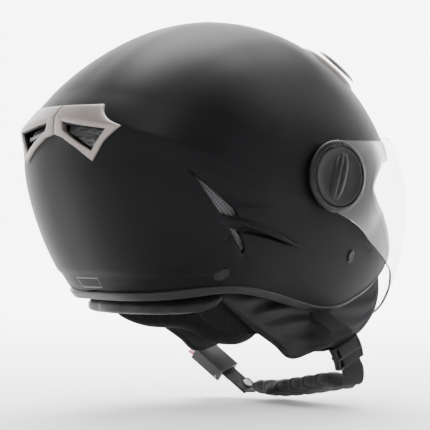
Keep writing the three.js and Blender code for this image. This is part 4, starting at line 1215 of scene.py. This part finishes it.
def build_right_strap():
    """The right webbing from its anchor to the sleeve."""
    run_down = [tuple(place) for place in np.linspace(RUN_TOP, RUN_BOTTOM, 4)]
    line = through([(-strap_start(), -72), (-76.8, -100), (-EXIT[0], EXIT[1]), *run_down, (-78, -174.8),
                    (-69, -177.3)], 10)
    path = leaning(line, STRAP_LEAN)
    across = np.broadcast_to([0, -1.0, 0], path.shape)
    ribbon("right_webbing", path, across, STRAP_WIDTH, STRAP_WALL, MATERIALS["webbing"], "helmet",
           ("strap_right",))


def adjuster_axes():
    """The adjuster's middle, and its directions down the webbing, across it and out of it."""
    low, high = node_box("strap_adjuster")
    side, drop = np.subtract(RUN_BOTTOM, RUN_TOP)
    down = unit(np.array([side, STRAP_LEAN * drop, drop]))
    across = unit(np.cross(down, np.array([-1.0, 0, 0])))
    out = np.cross(across, down)
    return (low + high) / 2, down, across, out * -np.sign(out[0])


def build_adjuster():
    """The ladder adjuster: two rounded rails and three pairs of cross bars about the webbing."""
    middle, down, across, out = adjuster_axes()
    s = np.linspace(-1, 1, 24)[:, None]
    same = np.ones((24, 1))
    bowed = 1.6 * (1 - s**2)
    half_width, half_length = 13.2, 9.6
    bars = [carry(round_bar(3.4, 6.4, 1.4, 4),
                  middle + across * edge + down * s * half_length + out * (bowed - 0.6),
                  across * same, out * same) for edge in (-half_width, half_width)]
    bars += [carry(round_bar(3.0, 2.0, 0.9, 4),
                   middle + across * s * half_width + down * place + out * level * lift,
                   down * same, out * same)
             for place, lift in ((-8.4, 2.4), (0, 4.0), (8.4, 2.4)) for level in (-1, 1)]
    points, faces = [bar.reshape(-1, 3) for bar in bars], []
    for k, bar in enumerate(bars):
        faces.append(grid_faces(*bar.shape[:2], wrap_columns=True) + sum(len(part) for part in points[:k]))
    mesh = make_mesh("ladder_adjuster", np.vstack(points), np.vstack(faces))
    piece("ladder_adjuster", mesh, MATERIALS["plastic"], "strap_adjuster", ("strap_adjuster",),
          angle=50)


def build_loops():
    """Two short loops of webbing folded over the adjuster's bars."""
    middle, down, across, out = adjuster_axes()
    bend = np.linspace(0, math.pi, 16)[:, None]
    for name, place, size in (("upper", -4.2, 5.0), ("lower", 4.2, 4.4)):
        line = middle + out * (3.2 + size * 0.32 * np.sin(bend)) + down * (place + size * np.cos(bend))
        ribbon(f"{name}_loop", line, np.broadcast_to(across, line.shape), 20.5, 1.5, MATERIALS["webbing"],
               "strap_adjuster")


# The sleeve's middle line seen from the front, and how far below the exit it lies.
SLEEVE_LINE = [(-66.5, -177.3), (-41, -181), (-16, -183.8), (10, -186), (36.5, -187.8)]
SLEEVE_DROP = 59
SLEEVE_HALF_WIDTH, SLEEVE_HALF_HEIGHT = 18.5, 6.8
# The flap at its rear edge: where along the sleeve it hangs, and its half length.
FLAP_AT, FLAP_HALF_LENGTH = 74, 8


def build_sleeve(sizes):
    """The quilted sleeve: a flattened round section along its path, drawn in along crossed seams, with a
    flap hanging from its rear edge."""
    line = np.array(SLEEVE_LINE)
    forward = np.full(len(line), STRAP_ANCHOR[0] - STRAP_LEAN * SLEEVE_DROP)
    path = through(np.stack([line[:, 0], forward, line[:, 1]], -1), 40)
    run = along(path)
    path[:, 2] += 1.2 + 3.0 * fade(-path[:, 0], -20, 60)
    tilt = math.radians(9)
    across = np.broadcast_to([0, -math.cos(tilt), -math.sin(tilt)], path.shape)
    out = np.cross(run, across)
    turn = np.linspace(0, 2 * math.pi, 96, endpoint=False)
    c, s = np.cos(turn), np.sin(turn)
    wide = np.sign(c) * np.abs(c) ** 0.7 * SLEEVE_HALF_WIDTH
    tall = np.sign(s) * np.abs(s) ** 0.75 * SLEEVE_HALF_HEIGHT
    travelled = lengths(path)[:, None]
    k = 2 * math.pi / sizes.quilt_pitch
    seams = [np.abs(np.sin(0.5 * k * (travelled + slant * (wide[None] * 0.95 + 3)))) for slant in (-1, 1)]
    puff = np.minimum(*seams) ** 0.6
    ends = np.clip(np.minimum(travelled, travelled[-1] - travelled) / 5, 0, 1) ** 0.5
    swellings = (0.86 + 0.14 * puff) * (0.45 + 0.55 * ends)
    narrowing = (0.93 + 0.07 * puff) * (0.9 + 0.1 * ends)
    flap = np.exp(-(((travelled - FLAP_AT) / FLAP_HALF_LENGTH) ** 2)) * np.clip(-c, 0, 1)[None] ** 3
    profile = np.stack([wide[None] * narrowing - 5.5 * flap, tall[None] * swellings], -1)
    rings = carry(profile, path, across, out)
    rings[1:-1, :, 2] -= 6.5 * flap
    made = surface("quilted_sleeve", rings, MATERIALS["quilt"], None, ("strap_pad",),
                   wrap_columns=True)
    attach(made, "helmet")


# The buckle's lower end, its direction, and where its housing starts along it and how long it is.
BUCKLE_START = np.array([50, -83, -188.8])
BUCKLE_ALONG = unit(np.array([42.0, 24.0, 38.0]))
HOUSING_START, HOUSING_LENGTH = 26, 32


def build_left_strap():
    """The left webbing from its anchor to the buckle's housing."""
    house = BUCKLE_START + BUCKLE_ALONG * (HOUSING_START + HOUSING_LENGTH + STRAP_WIDTH * 0.24)
    lean = (house[1] - STRAP_ANCHOR[0]) / (house[2] - EXIT[1])
    line = through([(strap_start(), -70), (76.8, -100), EXIT, (91, -128.8), (house[0] + 4, house[2] + 9),
                    (house[0], house[2])], 12)
    path = leaning(line, lean)
    across = np.broadcast_to([0, -1.0, 0], path.shape)
    ribbon("left_webbing", path, across, STRAP_WIDTH, STRAP_WALL, MATERIALS["webbing"], "helmet",
           ("strap_left",))


# ---- Buckle ----
def build_buckle():
    """Housing, tongue, lever, tail and eyelet keep the frame's shapes, with rounded edges and their own
    finishes."""
    refined("buckle_housing", MATERIALS["grey"], "helmet", 1.1, 3)
    refined("buckle_lever", MATERIALS["red"], "buckle_lever", 0.5)
    refined("buckle_tongue", MATERIALS["plastic"], "buckle_tongue", 0.25)
    refined("strap_tail", MATERIALS["tail"], "buckle_tongue", 0.4)
    refined("tongue_eyelet", MATERIALS["steel"], "buckle_tongue", 0.35)


# ---- Stage ----
# Name, place, target, size and power of each soft light, in metres and watts. The washes light the floor
# and wall behind the helmet.
LIGHTS = (
    ("top_softbox", (-0.25, 0.55, 2.3), (0, 0, 0), 1.9, 27),
    ("key_softbox", (-1.05, 1.15, 1.75), (0, 0, 0), 0.8, 27),
    ("rear_softbox", (0.7, 2.4, 0.6), (0, 0, 0), 1.3, 8),
    ("front_softbox", (-0.75, -1.7, 1.7), (0, 0, 0), 1.1, 22),
    ("floor_wash", (2.2, -1.7, 3.6), (2.5, -1.9, -0.2), 3.2, 520),
    ("wall_wash", (0.9, -0.7, 3.0), (4.6, -3.5, 0.9), 2.6, 680),
)
AIR_LIGHT = 0.24
# The floor, in metres: its flat part, the bend up to the wall, the wall's top, and its drop under the helmet.
FLOOR_FLAT, FLOOR_BEND, WALL_TOP, FLOOR_DROP = 3.6, 1.6, 3.2, 0.002
CAMERA_PLACE = (-1.4410, 1.0787, -0.0358)
CAMERA_AIM = (0.79864, -0.60182, 0)
CAMERA_LENS = 180.8


def build_floor():
    """A pale round floor whose edge curves up to a wall."""
    turn = np.linspace(0, 2 * math.pi, 128, endpoint=False)
    bend = np.radians(np.linspace(0, 90, 24))
    radius = np.concatenate([[0, 1, 2, 3], FLOOR_FLAT + FLOOR_BEND * np.sin(bend), [FLOOR_FLAT + FLOOR_BEND]])
    rise = np.concatenate([[0, 0, 0, 0], FLOOR_BEND * (1 - np.cos(bend)), [WALL_TOP]])
    rise = rise + CAD_BOX[0][2] - FLOOR_DROP
    radius, rise = radius[:, None], rise[:, None]
    grid = np.stack([radius * np.cos(turn), radius * np.sin(turn), rise + 0 * turn], -1) / MM
    mesh = make_mesh("studio_floor", grid.reshape(-1, 3), grid_faces(*grid.shape[:2], wrap_columns=True))
    floor = bpy.data.objects.new("studio_floor", mesh)
    bpy.context.scene.collection.objects.link(floor)
    pale, _, shader = principled("pale_floor")
    shader.inputs["Base Color"].default_value = (0.93, 0.93, 0.935, 1)
    shader.inputs["Roughness"].default_value = 0.9
    shader.inputs["Specular IOR Level"].default_value = 0.1
    mesh.materials.append(pale)
    floor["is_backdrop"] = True


def build_lights():
    """Soft area lights in a faintly lit air."""
    world = bpy.data.worlds.new("studio_air")
    bpy.context.scene.world = world
    world.use_nodes = True
    world.node_tree.nodes["Background"].inputs[0].default_value = (1, 1, 1, 1)
    world.node_tree.nodes["Background"].inputs[1].default_value = AIR_LIGHT
    for name, place, target, size, power in LIGHTS:
        light = bpy.data.lights.new(name, "AREA")
        light.size = size
        light.energy = power
        lamp = bpy.data.objects.new(name, light)
        bpy.context.scene.collection.objects.link(lamp)
        lamp.location = place
        lamp.rotation_euler = (Vector(target) - Vector(place)).to_track_quat("-Z", "Y").to_euler()


def build_camera():
    """A long lens behind the helmet's right shoulder, level with it."""
    camera_data = bpy.data.cameras.new("studio_camera")
    camera_data.sensor_width = 36
    camera_data.lens = CAMERA_LENS
    camera_data.clip_end = 60
    camera = bpy.data.objects.new("studio_camera", camera_data)
    bpy.context.scene.collection.objects.link(camera)
    camera.location = CAMERA_PLACE
    camera.rotation_euler = Vector(CAMERA_AIM).to_track_quat("-Z", "Y").to_euler()
    bpy.context.scene.camera = camera


# ---- Operators ----
class HELMET_OT_finishes(bpy.types.Operator):
    """Builds every finish and gives the frame's nodes theirs"""
    bl_idname = "helmet.finishes"
    bl_label = "Finishes"

    def execute(self, context):
        build_materials(context.scene.helmet_looks)
        plain = {"foam": "foam", "mesh": "grille", "plastic": "plastic", "steel": "steel", "lining": "knit",
                 "grey": "grey", "red": "red", "shell": "paint", "champagne": "champagne",
                 "rubber": "rubber", "leatherette": "hide", "webbing": "tail", "visor": "clear"}
        slots = {row["node"]: row["material_slot"] for row in frame["record"]["subparts"]}
        for name, made in frame["nodes"].items():
            made.data.materials.clear()
            made.data.materials.append(MATERIALS[plain[slots[name]]])
        return {"FINISHED"}


class HELMET_OT_shell(bpy.types.Operator):
    """Builds the painted shell and the rubber beading round its rim"""
    bl_idname = "helmet.shell"
    bl_label = "Shell and beading"

    def execute(self, context):
        build_shell(context.scene.helmet_sizes)
        build_beading()
        return {"FINISHED"}


class HELMET_OT_vents(bpy.types.Operator):
    """Builds the rear frame, the top vents with their sliders, and the side fins"""
    bl_idname = "helmet.vents"
    bl_label = "Vents"

    def execute(self, context):
        build_rear_frame()
        for side in SIDES:
            build_top_vent(side)
            build_top_slider(side)
            build_fin(side)
        return {"FINISHED"}


class HELMET_OT_visor(bpy.types.Operator):
    """Builds the clear visor, its rings and the turning knobs"""
    bl_idname = "helmet.visor"
    bl_label = "Visor and knobs"

    def execute(self, context):
        build_visor(context.scene.helmet_sizes)
        for side in SIDES:
            build_pivot_ring(side)
            build_pivot_knob(side)
        return {"FINISHED"}


class HELMET_OT_fixings(bpy.types.Operator):
    """Builds the plugs, buttons and the blank label"""
    bl_idname = "helmet.fixings"
    bl_label = "Fixings"

    def execute(self, context):
        for side in SIDES:
            build_button(side, "lining_plug", LINING_RIVET, 5.0, 1.0, "lining_rivet")
            build_button(side, "strap_button", STRAP_ANCHOR, 3.6, 1.45, "strap_anchor")
        build_label()
        return {"FINISHED"}


class HELMET_OT_linings(bpy.types.Operator):
    """Builds the padded linings, the nape roll and the cheek aprons"""
    bl_idname = "helmet.linings"
    bl_label = "Linings"

    def execute(self, context):
        build_crown_lining()
        build_neck_roll()
        for side in SIDES:
            build_cheek_pad(side)
            build_apron(context.scene.helmet_sizes, side)
            build_lobe(side)
        return {"FINISHED"}


class HELMET_OT_strap(bpy.types.Operator):
    """Builds the webbing, the quilted sleeve, the adjuster and the buckle"""
    bl_idname = "helmet.strap"
    bl_label = "Chin strap"

    def execute(self, context):
        build_right_strap()
        build_left_strap()
        build_adjuster()
        build_loops()
        build_sleeve(context.scene.helmet_sizes)
        build_buckle()
        return {"FINISHED"}


class HELMET_OT_stage(bpy.types.Operator):
    """Builds the floor, the lights and the camera"""
    bl_idname = "helmet.stage"
    bl_label = "Stage"

    def execute(self, context):
        build_floor()
        build_lights()
        build_camera()
        return {"FINISHED"}


OPERATORS = (HELMET_OT_finishes, HELMET_OT_shell, HELMET_OT_vents, HELMET_OT_visor, HELMET_OT_fixings,
             HELMET_OT_linings, HELMET_OT_strap, HELMET_OT_stage)


class HELMET_PT_panel(bpy.types.Panel):
    """Sizes, colours and building steps of the helmet"""
    bl_idname = "HELMET_PT_panel"
    bl_label = "Open face helmet"
    bl_space_type = "VIEW_3D"
    bl_region_type = "UI"
    bl_category = "Helmet"

    def draw(self, context):
        for block in (context.scene.helmet_sizes, context.scene.helmet_looks):
            for name in block.__annotations__:
                self.layout.prop(block, name)
        for operator in OPERATORS:
            self.layout.operator(operator.bl_idname)


CLASSES = (HelmetSizes, HelmetLooks, *OPERATORS, HELMET_PT_panel)


def register():
    """Adds the classes and the scene's two property groups."""
    for made in CLASSES:
        bpy.utils.register_class(made)
    bpy.types.Scene.helmet_sizes = PointerProperty(type=HelmetSizes)
    bpy.types.Scene.helmet_looks = PointerProperty(type=HelmetLooks)


def unregister():
    """Takes them away again."""
    del bpy.types.Scene.helmet_looks
    del bpy.types.Scene.helmet_sizes
    for made in reversed(CLASSES):
        bpy.utils.unregister_class(made)


def main():
    """Builds the whole helmet."""
    register()
    bpy.ops.helmet.finishes()
    bpy.ops.helmet.shell()
    bpy.ops.helmet.vents()
    bpy.ops.helmet.visor()
    bpy.ops.helmet.fixings()
    bpy.ops.helmet.linings()
    bpy.ops.helmet.strap()
    bpy.ops.helmet.stage()
    visual = [list(corner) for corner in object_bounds()]


if __name__ == "__main__":
    main()
